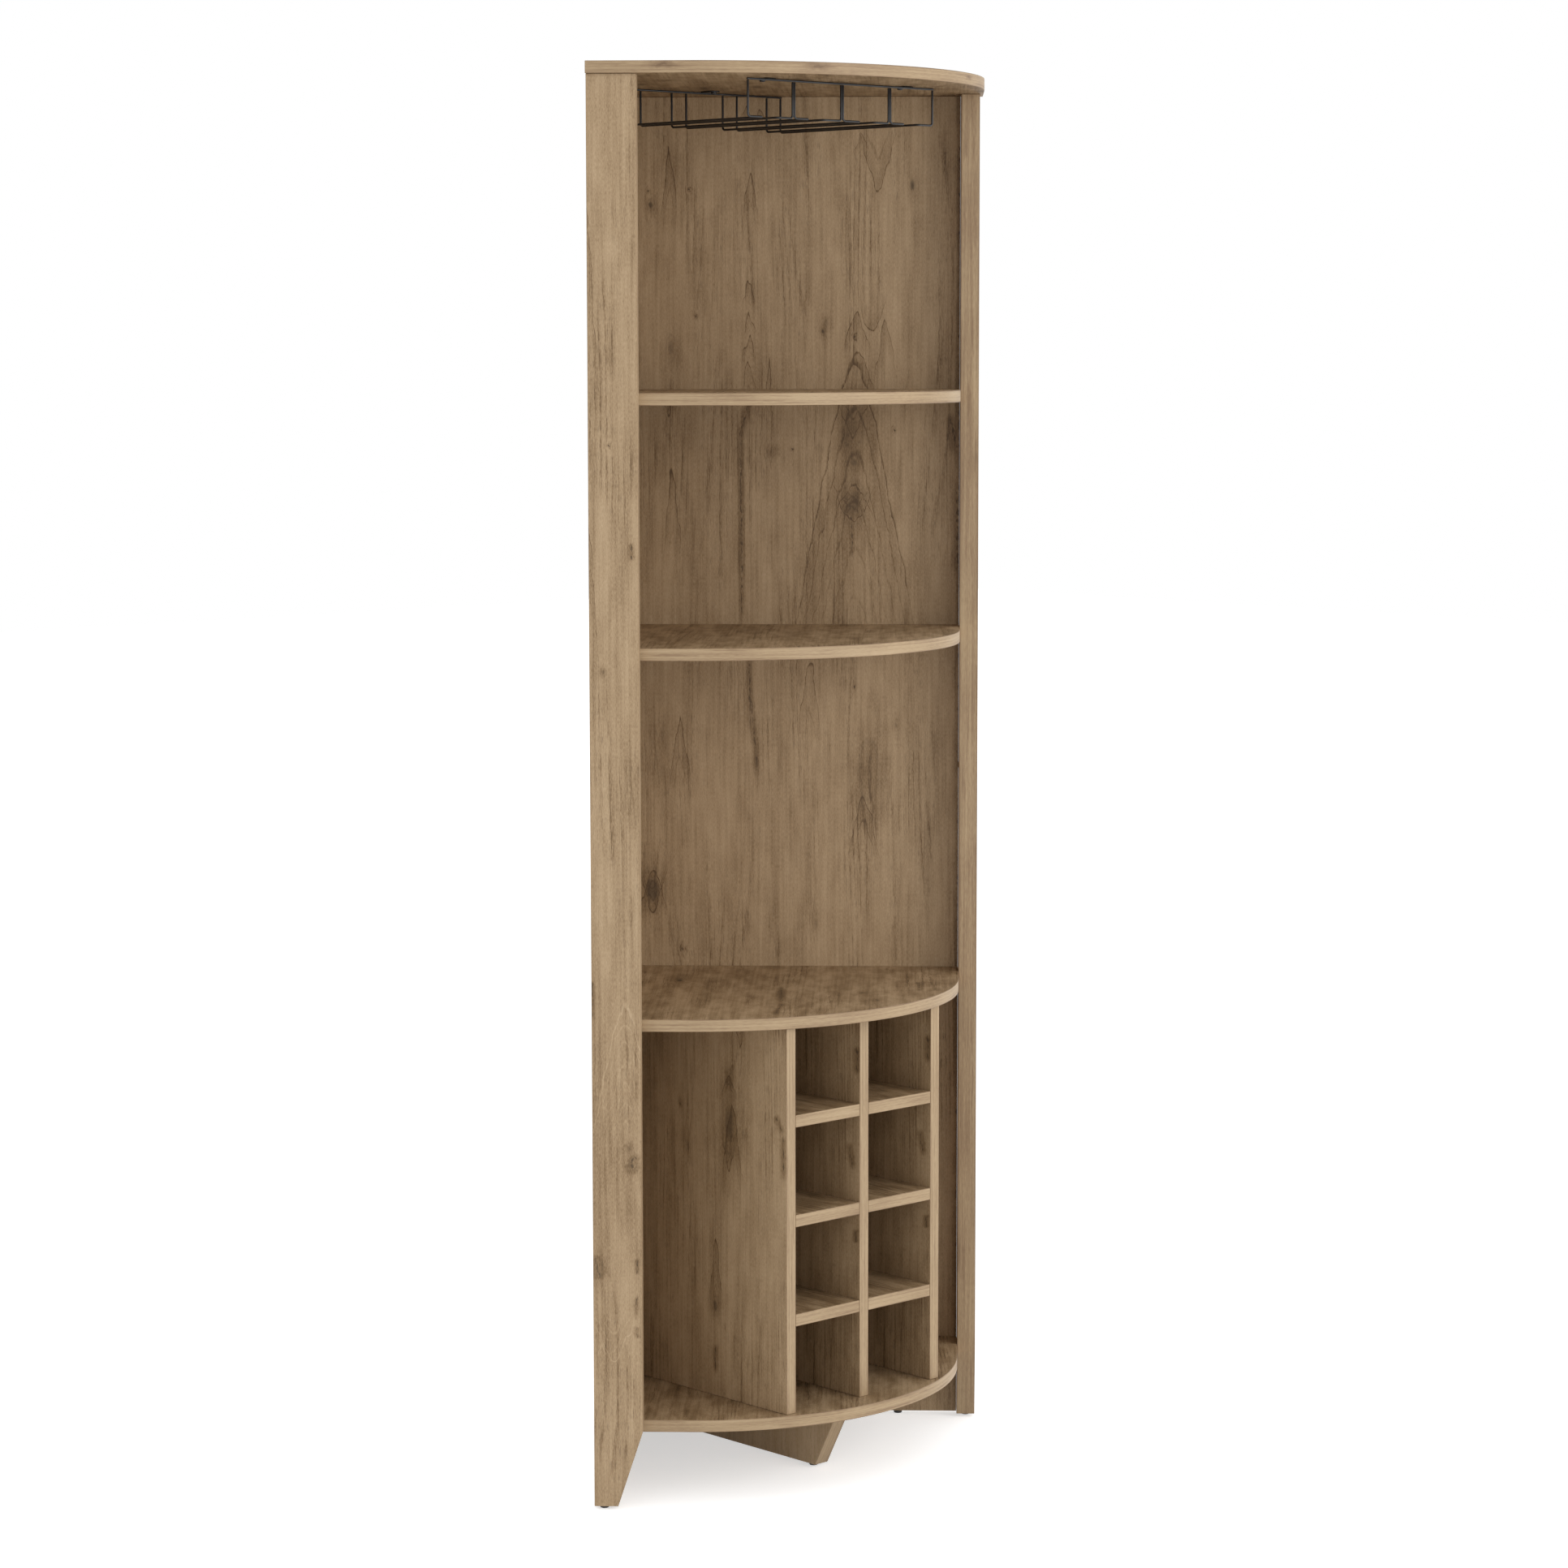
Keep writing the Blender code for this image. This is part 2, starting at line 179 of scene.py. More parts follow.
def newFinish(name):
    finish = bpy.data.materials.new(name)
    finish.use_nodes = True
    tree = finish.node_tree
    return finish, tree, tree.nodes["Principled BSDF"]


def dress(tree, shader, colour, roughness, height, depth, metallic=0.0, specular=0.5):
    relief = newStep(tree, "Bump")
    fill(tree, relief.inputs, Distance=depth, Height=height)
    fill(tree, shader.inputs, **{"Base Color": colour, "Roughness": roughness, "Metallic": metallic,
                                 "Specular IOR Level": specular, "Normal": relief.outputs[0]})


def boardPlace(tree):
    return newStep(tree, "UVMap", uv_map="grain").outputs[0]


def objectPlace(tree):
    return newStep(tree, "TexCoord").outputs["Object"]


# How far board coordinates stray, across and along the grain
wanderLook = {
    "sway": (0.012, 0.03, 0),
    "tremble": (0.0016, 0.006, 0),
    "ragged": (0.0042, 0.007, 0),
    "curl": (0.011, 0.026, 0),
}


def makeWander():
    # Uneven board coordinates: a slow sway for the growth lines, quicker ones for knots, cracks and arches
    tree, given, result = newGroup(
        "wander", {"Vector": ["Place"]}, {"Vector": ["Swaying", "Curling", "Ragged"], "Float": ["Broken"]})
    place = given["Place"]

    def stray(share, amount):
        return vectorCalc(tree, "MULTIPLY", vectorCalc(tree, "SUBTRACT", share, (0.5, 0.5, 0.5)), amount)

    slow = stray(noise(tree, place, (11, 2.4, 1), detail=1.5, output="Color"), wanderLook["sway"])
    quick = noise(tree, place, (150, 60, 1), output="Color")
    curl = stray(noise(tree, place, (70, 26, 1), (4, 6, 0), output="Color"), wanderLook["curl"])
    swaying = vectorCalc(tree, "ADD", place, slow)
    fill(tree, result,
         Swaying=vectorCalc(tree, "ADD", swaying, stray(quick, wanderLook["tremble"])),
         Curling=vectorCalc(tree, "ADD", place, curl),
         Ragged=vectorCalc(tree, "ADD", place, stray(quick, wanderLook["ragged"])),
         Broken=noise(tree, place, (330, 120, 1)))
    return tree


def nudged(tree, place, amount):
    # Each mark shifts the place of the next a little, so the marks are worked out one after another
    return vectorCalc(tree, "ADD", place, scaled(tree, (0.00004, 0, 0), amount))


knotLook = {
    "push": 1.2,                # how far the growth lines part round it
    "pushFading": -0.13,
    "haloFading": -0.22,
    "rimPlace": 1.35,           # in radii
    "rimWidth": 0.3,
    "rimDark": 0.12,
    "heartFull": 0.35,          # in radii
}


def makeKnot():
    # One knot, added to the marks before it: how far it pushes the growth lines aside, its brown halo,
    # and its dark heart
    tree, given, result = newGroup(
        "knot",
        {"Vector": ["Ragged", "Centre"], "Float": ["Radius", "Tall", "Heart", "Push", "Stain", "Dark"]},
        {"Vector": ["Ragged"], "Float": ["Push", "Stain", "Dark"]})
    away = vectorCalc(tree, "SUBTRACT", given["Ragged"], given["Centre"])
    shape = newStep(tree, "CombineXYZ", 1, calc(tree, "DIVIDE", 1.0, given["Tall"])).outputs[0]
    away = vectorCalc(tree, "MULTIPLY", away, shape)
    reach = calc(tree, "DIVIDE", vectorCalc(tree, "LENGTH", away, output="Value"), given["Radius"])
    squared = times(tree, reach, reach)
    push = calc(tree, "EXPONENT", times(tree, squared, knotLook["pushFading"]))
    push = calc(tree, "MULTIPLY_ADD", push, knotLook["push"], given["Push"])
    stain = calc(tree, "EXPONENT", times(tree, squared, knotLook["haloFading"]))
    stain = calc(tree, "ADD", stain, given["Stain"])
    rim = calc(tree, "ABSOLUTE", calc(tree, "SUBTRACT", reach, knotLook["rimPlace"]))
    rim = ease(tree, rim, knotLook["rimWidth"], 0.0, 0.0, knotLook["rimDark"])
    heart = times(tree, ease(tree, reach, 1.0, knotLook["heartFull"]), given["Heart"])
    dark = larger(tree, larger(tree, heart, rim), given["Dark"])
    fill(tree, result, Push=push, Stain=stain, Dark=dark,
         Ragged=nudged(tree, given["Ragged"], total(tree, [push, stain, dark])))
    return tree


crackLook = {
    "gapLevel": 0.45,           # it breaks off where the noise rises well above this
    "gapDepth": 5.0,
    "dark": 0.7,
    "stain": 1.4,
    "stainReach": 6.0,          # in half widths
}


def makeCrack():
    # A dark split from one point to another, ragged and broken along its length
    tree, given, result = newGroup(
        "crack",
        {"Vector": ["Ragged", "Start", "End"], "Float": ["Width", "Broken", "Stain", "Dark"]},
        {"Vector": ["Ragged"], "Float": ["Stain", "Dark"]})
    course = vectorCalc(tree, "SUBTRACT", given["End"], given["Start"])
    away = vectorCalc(tree, "SUBTRACT", given["Ragged"], given["Start"])
    share = calc(tree, "DIVIDE", dotted(tree, away, course), dotted(tree, course, course))
    beside = vectorCalc(tree, "SUBTRACT", away, scaled(tree, course, share))
    beside = calc(tree, "DIVIDE", vectorCalc(tree, "LENGTH", beside, output="Value"), given["Width"])
    ends = times(tree, ease(tree, share, -0.02, 0.2), ease(tree, share, 1.02, 0.75))
    gaps = times(tree, calc(tree, "SUBTRACT", given["Broken"], crackLook["gapLevel"]), crackLook["gapDepth"])
    dark = ease(tree, calc(tree, "ADD", beside, gaps), 1.0, 0.1)
    dark = larger(tree, times(tree, times(tree, dark, crackLook["dark"]), ends), given["Dark"])
    stain = ease(tree, beside, crackLook["stainReach"], 0.5, 0.0, crackLook["stain"])
    stain = calc(tree, "MULTIPLY_ADD", stain, ends, given["Stain"])
    fill(tree, result, Dark=dark, Stain=stain,
         Ragged=nudged(tree, given["Ragged"], calc(tree, "ADD", stain, dark)))
    return tree


archLook = {
    "bluntness": 0.04,          # how round the apex is
    "outline": 0.0010,
    "besides": (1.3, 0.7),      # where it is gone and where it is whole, in half widths
    "below": (1.5, 0.6),        # and in heights
}


def makeArch():
    # A pointed arch of growth lines below its apex, or above it where the height is negative:
    # one crisp outline, a soft shade inside it, and fainter arches further in
    tree, given, result = newGroup(
        "arch",
        {"Vector": ["Curling", "Apex"], "Float": ["Half", "Tall", "Lines", "Line", "Shade"]},
        {"Vector": ["Curling"], "Float": ["Line", "Shade"]})
    away = vectorCalc(tree, "SUBTRACT", given["Apex"], given["Curling"])
    across = calc(tree, "DIVIDE", dotted(tree, away, (1, 0, 0)), given["Half"])
    down = calc(tree, "DIVIDE", dotted(tree, away, (0, 1, 0)), given["Tall"])
    bow = calc(tree, "SQRT", calc(tree, "MULTIPLY_ADD", across, across, archLook["bluntness"]))
    depth = calc(tree, "SUBTRACT", down, bow)
    inside = ease(tree, calc(tree, "ABSOLUTE", across), *archLook["besides"])
    inside = times(tree, inside, ease(tree, down, *archLook["below"]))
    thick = calc(tree, "DIVIDE", archLook["outline"], given["Half"])
    outline = times(tree, ease(tree, depth, -0.02, 0.01), ease(tree, depth, thick, 0.01))
    saw = calc(tree, "FRACT", times(tree, depth, given["Lines"]))
    inner = times(tree, ease(tree, saw, 0.78, 0.92), ease(tree, saw, 1.0, 0.92))
    inner = times(tree, inner, ease(tree, depth, 1.6, 0.1, 0.1, 0.55))
    inner = times(tree, inner, ease(tree, depth, 0.04, 0.10))
    line = larger(tree, times(tree, larger(tree, outline, inner), inside), given["Line"])
    shade = times(tree, ease(tree, depth, -0.06, 0.08), ease(tree, depth, 0.8, 0.06))
    shade = larger(tree, times(tree, shade, inside), given["Shade"])
    fill(tree, result, Line=line, Shade=shade,
         Curling=nudged(tree, given["Curling"], calc(tree, "ADD", line, shade)))
    return tree


# What each board's finish may change
oakLook = {
    "Tone": 0.5,
    "Closeness": 16.0,          # how closely the growth lines follow each other
    "Lines": 0.30,
    "Grain": 1.0,
    "Cloud": 1.0,
}
# How strongly each layer of the oak print lightens or darkens it
oakLayers = {
    "base": 0.03,
    "broad": 0.56,
    "cloud": 0.38,
    "fibre": 0.46,
    "fine": 0.54,
    "hairs": -0.20,
    "arches": -0.40,
    "shade": -0.13,
    "stain": -0.20,
    "strayStain": 0.7,          # of a scattered knot's halo
    "pale": 0.24,
    "pores": 0.50,
    "dark": 0.88,
}
oakColours = {
    "print": [
        (0.0, (0.120, 0.071, 0.033)),
        (0.25, (0.245, 0.157, 0.079)),
        (0.5, (0.404, 0.280, 0.161)),
        (0.7, (0.494, 0.354, 0.213)),
        (1.0, (0.600, 0.452, 0.290)),
    ],
    "pores": (0.120, 0.077, 0.043, 1),
    "dark": (0.038, 0.025, 0.016, 1),
}


def makeOakPrint():
    # The printed oak: broad tone, growth lines, fibres and pores, then the marks laid over them
    tree, given, result = newGroup(
        "oakPrint",
        {"Vector": ["Place", "Swaying"],
         "Float": ["Push", "Stain", "Dark", "Line", "Shade", "Pale", *oakLook]},
        {"Color": ["Color"], "Float": ["Roughness", "Height"]})
    place = given["Place"]
    swaying = given["Swaying"]
    # Knots scattered over the board, one in each cell of an uneven grid, most of them left out
    cellPlace = newStep(tree, "Mapping", swaying, (0.37, 0.81, 0), (0, 0, 0), (9, 3.6, 1)).outputs[0]
    cells = newStep(tree, "TexVoronoi", cellPlace, voronoi_dimensions="2D")
    cells.inputs["Scale"].default_value = 1
    chance = newStep(tree, "SeparateColor", cells.outputs["Color"]).outputs
    size = ease(tree, chance[0], 0.45, 1.0, 0.0, 0.04)
    reach = calc(tree, "DIVIDE", cells.outputs["Distance"], larger(tree, size, 0.0005))
    squared = times(tree, reach, reach)
    push = times(tree, calc(tree, "EXPONENT", times(tree, squared, -0.1)), knotLook["push"])
    strayStain = calc(tree, "EXPONENT", times(tree, squared, -0.2))
    strayHeart = times(tree, ease(tree, reach, 1.0, 0.2), ease(tree, chance[1], 0.4, 0.9, 0.2, 0.8))
    # Growth lines: level lines of a stretched noise, sharp on one side and soft on the other
    sway = noise(tree, swaying, (10, 0.8, 1), detail=1.0, roughness=0.4)
    across = dotted(tree, swaying, (110.0, 0, 0))
    level = total(tree, [times(tree, sway, given["Closeness"]), given["Push"], push, across])
    saw = calc(tree, "FRACT", level)
    line = calc(tree, "MINIMUM", ease(tree, saw, 0.0, 0.12), ease(tree, saw, 0.55, 0.12))
    drifts = noise(tree, swaying, (26, 4.2, 1), (3, 7, 0))
    shown = ease(tree, drifts, 0.47, 0.66, 0.10, 1.0)
    grit = noise(tree, place, (700, 46, 1), (7, 3, 0), roughness=0.6)
    line = times(tree, times(tree, line, shown), ease(tree, grit, 0.40, 0.60, 0.12, 1.0))
    arches = times(tree, given["Line"], ease(tree, grit, 0.34, 0.52, 0.35, 1.0))
    # Fibres, long thin dark hairlines, and two broad clouds of tone
    fibre = noise(tree, place, (250, 6, 1), detail=2.5, roughness=0.55)
    thread = noise(tree, swaying, (760, 8.0, 1), (2, 9, 0))
    hairs = times(tree, ease(tree, thread, 0.56, 0.70), ease(tree, drifts, 0.42, 0.66, 0.15, 1.0))
    fine = noise(tree, place, (1050, 230, 1), detail=1.5, roughness=0.6)
    grain = calc(tree, "ADD", times(tree, fibre, oakLayers["fibre"]), times(tree, fine, oakLayers["fine"]))
    broad = noise(tree, swaying, (34, 4.0, 1), (5, 2, 0), detail=2.5, roughness=0.6)
    cloud = noise(tree, place, (60, 22, 1), (9, 4, 0), detail=3.0, roughness=0.6)
    stain = calc(tree, "ADD", given["Stain"], times(tree, strayStain, oakLayers["strayStain"]))
    tone = total(tree, [
        given["Tone"],
        swing(tree, broad, oakLayers["broad"]),
        swing(tree, cloud, times(tree, given["Cloud"], oakLayers["cloud"])),
        swing(tree, grain, given["Grain"]),
        times(tree, hairs, oakLayers["hairs"]),
        times(tree, line, times(tree, given["Lines"], -1.0)),
        times(tree, arches, oakLayers["arches"]),
        times(tree, given["Shade"], oakLayers["shade"]),
        times(tree, stain, oakLayers["stain"]),
        times(tree, given["Pale"], oakLayers["pale"]),
        oakLayers["base"],
    ])
    colour = ramp(tree, tone, oakColours["print"])
    # Pores: short dark dashes that gather where the growth lines do
    pores = noise(tree, place, (1500, 60, 1), (1, 5, 0), detail=1.0)
    pores = times(tree, ease(tree, pores, 0.60, 0.70), ease(tree, drifts, 0.42, 0.60))
    colour = blendColours(tree, times(tree, pores, oakLayers["pores"]), colour, oakColours["pores"])
    dark = larger(tree, given["Dark"], strayHeart)
    share = calc(tree, "MULTIPLY", dark, oakLayers["dark"], clamp=True)
    # The relief follows the fibres and pores alone: knots and cracks are printed flat
    fill(tree, result,
         Color=blendColours(tree, share, colour, oakColours["dark"]),
         Roughness=total(tree, [0.47, times(tree, fine, 0.14), times(tree, dark, 0.12)]),
         Height=total(tree, [times(tree, fine, 0.5), times(tree, hairs, -0.3), times(tree, pores, -0.5)]))
    return tree


# The edge band map runs along the band and, across it, from minus to plus the half width
bandLook = {
    "halfWidth": 0.0079,
    "border": (0.0066, 0.0078),     # where the brown glue line begins and is full
    "glueLine": -0.30,
    "streaks": 0.75,
    "fine": 0.4,
    "broad": 0.4,
    "dashes": -0.16,
    "knotStain": 0.36,              # how much darker a knot makes the band, its halo and its heart
    "knotHeart": 0.26,
    "depth": 0.00006,
    "colours": [
        (0.0, (0.205, 0.130, 0.073)),
        (0.3, (0.330, 0.222, 0.128)),
        (0.5, (0.448, 0.322, 0.190)),
        (0.75, (0.540, 0.402, 0.250)),
        (1.0, (0.610, 0.475, 0.315)),
    ],
}


def makeEdgeStreaks():
    # Edge band: paler, with streaks along its length and a thin glue line at both borders
    tree, given, result = newGroup(
        "edgeStreaks", {"Vector": ["Place"], "Float": ["Tone"]},
        {"Color": ["Color"], "Float": ["Roughness", "Height"]})
    place = given["Place"]
    streak = noise(tree, place, (4.5, 380, 1), detail=3.0, roughness=0.62)
    fine = noise(tree, place, (110, 1250, 1))
    dash = ease(tree, noise(tree, place, (13, 330, 1), (4, 8, 0), detail=1.5), 0.57, 0.72)
    broad = noise(tree, place, (9, 40, 1), (2, 1, 0), detail=1.0)
    border = calc(tree, "ABSOLUTE", dotted(tree, place, (0, 1, 0)))
    tone = total(tree, [
        given["Tone"],
        swing(tree, streak, bandLook["streaks"]),
        swing(tree, fine, bandLook["fine"]),
        swing(tree, broad, bandLook["broad"]),
        times(tree, dash, bandLook["dashes"]),
        times(tree, ease(tree, border, *bandLook["border"]), bandLook["glueLine"]),
    ])
    fill(tree, result,
         Color=ramp(tree, tone, bandLook["colours"]),
         Roughness=calc(tree, "ADD", times(tree, fine, 0.16), 0.42),
         Height=calc(tree, "ADD", streak, fine))
    return tree


wander = makeWander()
knotMark = makeKnot()
crackMark = makeCrack()
archMark = makeArch()
oakPrint = makeOakPrint()
edgeStreaks = makeEdgeStreaks()
print("node groups ready")

oakSurface = {
    "grainDepth": 0.00012,
    "specular": 0.35,
    "stainLimit": 1.2,          # where knots and cracks crowd together
}


def layMarks(tree, group, place, marks, rows):
    # Each mark takes the place and the marks before it, and hands them on with its own laid over them
    placeName, *kinds = [item.name for item in group.interface.items_tree if item.in_out == "OUTPUT"]
    for row in rows:
        before = {kind: marks[kind] for kind in kinds if kind in marks}
        mark = useGroup(tree, group, **{placeName: place}, **row, **before)
        place = mark[placeName]
        marks.update({kind: mark[kind] for kind in kinds})
    return place


def knotRows(knots):
    return [{"Centre": (across * mm, along * mm, 0), "Radius": radius * mm, "Tall": tall, "Heart": heart}
            for across, along, radius, tall, heart in knots]


def crackRows(cracks, broken):
    return [{"Start": (across * mm, along * mm, 0), "End": (endAcross * mm, endAlong * mm, 0),
             "Width": width * mm, "Broken": broken}
            for across, along, endAcross, endAlong, width in cracks]


def archRows(arches):
    return [{"Apex": (across * mm, along * mm, 0), "Half": half * mm, "Tall": tall * mm, "Lines": lines}
            for across, along, half, tall, lines in arches]


def layPrint(tree, shader, board, depth):
    dress(tree, shader, board["Color"], board["Roughness"], board["Height"], depth,
          specular=oakSurface["specular"])


def makeOak(name, knots=(), cracks=(), arches=(), paleArches=(), **look):
    # The marks' places and sizes are in millimetres, across and along the grain from the back corner
    # at the floor. knots: centre, radius, how tall for its width, how dark its heart; cracks: start, end,
    # half width; arches: apex, half width, height, and how many lines
    finish, tree, shader = newFinish(name)
    place = boardPlace(tree)
    uneven = useGroup(tree, wander, Place=place)
    marks = {}
    paleMarks = {}
    ragged = layMarks(tree, knotMark, uneven["Ragged"], marks, knotRows(knots))
    layMarks(tree, crackMark, ragged, marks, crackRows(cracks, uneven["Broken"]))
    curling = layMarks(tree, archMark, uneven["Curling"], marks, archRows(arches))
    layMarks(tree, archMark, curling, paleMarks, archRows(paleArches))
    if paleMarks:
        marks["Pale"] = paleMarks["Line"]
    if "Stain" in marks:
        marks["Stain"] = calc(tree, "MINIMUM", marks["Stain"], oakSurface["stainLimit"])
    values = {**oakLook, **look, **marks}
    layPrint(tree, shader, useGroup(tree, oakPrint, Place=place, Swaying=uneven["Swaying"], **values),
             oakSurface["grainDepth"])
    return finish


def makeEdgeBand(name, tone, knots=()):
    # knots as above, but along the band and sideways from its middle, which is down on the top board
    finish, tree, shader = newFinish(name)
    place = boardPlace(tree)
    if knots:
        marks = {}
        layMarks(tree, knotMark, useGroup(tree, wander, Place=place)["Ragged"], marks, knotRows(knots))
        deep = times(tree, marks["Dark"], bandLook["knotHeart"])
        deep = calc(tree, "MULTIPLY_ADD", marks["Stain"], bandLook["knotStain"], deep)
        tone = calc(tree, "SUBTRACT", tone, deep)
    layPrint(tree, shader, useGroup(tree, edgeStreaks, Place=place, Tone=tone), bandLook["depth"])
    return finish


def makeChipCore():
    # Raw particle board, seen only inside the bores
    finish, tree, shader = newFinish("chipCore")
    chips = newStep(tree, "TexVoronoi", objectPlace(tree))
    chips.inputs["Scale"].default_value = 700
    tint = newStep(tree, "SeparateColor", chips.outputs["Color"]).outputs[0]
    colour = ramp(tree, tint, [(0.0, (0.20, 0.13, 0.07)), (1.0, (0.52, 0.38, 0.22))])
    dress(tree, shader, colour, 0.85, chips.outputs["Distance"], 0.0002)
    return finish


def makeCoated(name, colour, roughness, mottle, metallic=0.0, depth=0.00002):
    # A fine-grained coated, cast or moulded surface with a little unevenness
    finish, tree, shader = newFinish(name)
    place = objectPlace(tree)
    grain = noise(tree, place, detail=3.0, scale=1400)
    patches = noise(tree, place, scale=90)
    pale = tuple(min(channel * (1 + mottle), 1.0) for channel in colour)
    deep = tuple(channel * (1 - mottle) for channel in colour)
    dress(tree, shader, ramp(tree, patches, [(0.3, deep), (0.7, pale)]),
          ease(tree, grain, 0.3, 0.7, roughness - 0.06, roughness + 0.06), grain, depth, metallic=metallic)
    return finish


def makeBeech():
    finish, tree, shader = newFinish("beechPeg")
    flecks = ease(tree, noise(tree, objectPlace(tree), (900, 900, 120)), 0.4, 0.7)
    colour = ramp(tree, flecks, [(0.0, (0.58, 0.42, 0.26)), (1.0, (0.36, 0.23, 0.13))])
    dress(tree, shader, colour, 0.7, flecks, 0.0001)
    return finish


edgeBand = makeEdgeBand("edgeBand", tone=0.46)
edgeBandPost = makeEdgeBand("edgeBandPost", tone=0.39)
edgeBandTop = makeEdgeBand(
    "edgeBandTop", tone=0.43,
    knots=[(-290.8, -2.6, 7.2, 0.28, 0.8), (-113, -2.4, 8, 0.26, 0.8), (149.6, -2.2, 4.6, 0.3, 0.3)])
chipCore = makeChipCore()
blackSatin = makeCoated("blackSatin", (0.014, 0.014, 0.015), roughness=0.40, mottle=0.25)
brightSteel = makeCoated("brightSteel", (0.62, 0.62, 0.62), roughness=0.30, mottle=0.10, metallic=1.0)
castZinc = makeCoated("castZinc", (0.47, 0.47, 0.46), roughness=0.46, mottle=0.16, metallic=1.0,
                      depth=0.00005)
darkNylon = makeCoated("darkNylon", (0.035, 0.031, 0.028), roughness=0.48, mottle=0.2)
beechPeg = makeBeech()

stileLeftOak = makeOak(
    "stileLeftOak", Tone=0.51, Lines=0.36, Grain=1.15, Cloud=0.9,
    knots=[
        (25.7, 1338.1, 1.9, 0.6, 1), (17, 1060.6, 2.8, 1.3, 0.35), (45.9, 463.6, 3.5, 1.2, 0.2),
        (48, 442, 5, 1, 0.1), (3.3, 313.5, 6, 1.4, 0.1), (-30, 500, 20, 4, 0),
    ],
    cracks=[
        (52.3, 1221, 53.2, 1196, 0.9), (0.5, 680, 0.8, 622, 1), (45.5, 445.5, 57.5, 433.5, 2.1),
        (51.5, 454.5, 57.5, 447.5, 1.3), (48, 444, 54, 452, 1.3), (0.5, 328, 10.5, 296, 1.9),
        (55.3, 324, 55.3, 302, 0.9), (54.5, 276, 53.5, 245, 0.8), (54, 238, 54.6, 220, 1),
    ],
    arches=[(-5, 1750, 19, 340, 7), (-4, 1320, 17, 240, 6)],
    paleArches=[(9, 230, 11, 60, 6), (25, 180, 30, -70, 4), (42, 690, 48, 230, 9)])
wallRightOak = makeOak(
    "wallRightOak", Tone=0.52,
    knots=[
        (48.4, 1647.7, 4, 1.5, 0.7), (74.7, 1457.8, 5, 2.6, 0.3), (45.4, 1667, 1.2, 1.2, 0.9),
        (99.6, 1667, 1.3, 1.2, 0.9), (108.2, 1500, 1.6, 1.4, 0.7), (278, 1479, 2.2, 2, 0.7),
        (320, 1472.5, 1.3, 1.6, 0.8), (319.3, 1304.8, 5.5, 1.3, 0.4), (319.5, 1250.5, 12, 1.8, 0.32),
        (237.6, 1322.9, 1.8, 0.7, 0.9), (210.4, 1319.9, 5, 0.8, 0.1), (374, 1348, 1.4, 1.3, 0.9),
        (318, 1350, 11, 1.6, 0), (47, 725.7, 13, 1.6, 0.6), (86.6, 645.3, 2.8, 1.2, 0.5),
        (321, 1002.7, 1.3, 2, 0.9), (340, 890, 10, 3, 0),
    ],
    cracks=[
        (183, 1400, 164, 1330, 1.4), (167, 1350, 169, 1140, 1.2), (170, 1250, 168, 1070, 1),
        (309, 1257, 326, 1249, 1.2), (315, 1262, 319, 1175, 1), (448, 1372, 459, 1310, 2.2),
        (459, 1280, 459, 1150, 2), (178.4, 1080, 180, 935.2, 1.3), (180, 1000, 190, 875.4, 1.2),
        # The four at 461.2 mm, along the wall's edge against the post, are painted shade: a dark seam for
        # the shade where the wall meets the post
        (461.2, 1900, 461.2, 1280, 1.4), (461.2, 1480, 461.2, 860, 1.4), (461.2, 1060, 461.2, 440, 1.4),
        (461.2, 640, 461.2, 20, 1.4),
    ],
    arches=[
        (73, 1742, 11, 110, 2), (177, 1786, 9, 30, 1.2), (195, 1780, 9, 35, 1.2),
        (181, 1700, 12, 70, 2), (179, 1550, 8.5, 32, 1.2), (179.5, 1513, 8.5, 34, 1.2),
        (179.7, 1482, 9.5, 36, 1.2), (178.5, 1450, 10, 48, 1.2), (206, 1470, 6, 110, 1),
        (322.5, 1516, 19, 56, 0.7), (344, 1464, 18, -52, 0.7), (362, 1512, 15, 90, 0.6),
        (352, 1645, 24, -95, 2), (330, 1748, 13, 30, 1.4), (325, 1466, 26, 70, 1.3),
        (75.6, 1328, 13, 150, 1.6), (70, 1362, 9, -30, 1.2), (318, 1326, 21, -60, 2),
        (321, 1530, 82, 450, 7), (319.5, 1292, 27, 60, 3), (319.5, 1209, 27, -60, 3),
        (84.8, 984, 14, 110, 1.8), (47, 770, 20, 70, 4), (47, 680, 20, -70, 4), (333, 874, 21, 95, 2.6),
        (260, 1060, 16, 120, 1.8),
    ])
dividerLeftOak = makeOak(
    "dividerLeftOak",
    knots=[
        (370.6, 470, 11, 2.6, 0.45), (370.8, 529.6, 6, 1.4, 0.1), (343.8, 228.5, 5, 1.8, 0.6),
        (277.1, 485.2, 2, 1.6, 0.5),
    ],
    cracks=[(456, 495, 472, 470, 1.4), (472, 472, 473.5, 408, 1.4), (343.6, 178, 343.4, 137, 1.4)],
    arches=[
        (391.5, 570, 12, -40, 2.5), (370.8, 542, 15, 34, 2.5), (376, 520, 20, 120, 2.5),
        (370.6, 400, 12, -50, 2.5), (344, 330, 12, 90, 3),
    ])
# Its lower tone is painted shade: the rack's middle and right dividers made darker for the shade inside the
# cubbies
dividerOak = makeOak(
    "dividerOak", Tone=0.42,
    cracks=[(473, 570, 473, 530, 1.6), (458, 442, 465.7, 405, 1.6), (470.7, 330, 470, 310, 1.4)])
# Its lower tone is painted shade: the shelf made darker for the shade that falls on it in the bay
lowerShelfOak = makeOak(
    "lowerShelfOak", Tone=0.38, Cloud=2.0, Lines=0.36,
    knots=[(90.7, 146.5, 6, 1.8, 0.8), (354.6, 302.9, 4, 2, 0.4), (333.8, 244.6, 3, 2, 0.4)],
    cracks=[(226.4, 195.7, 233.5, 330.6, 1.6), (233.5, 325, 226, 427.7, 1.2), (409.8, 150, 408, 230, 1.4)])
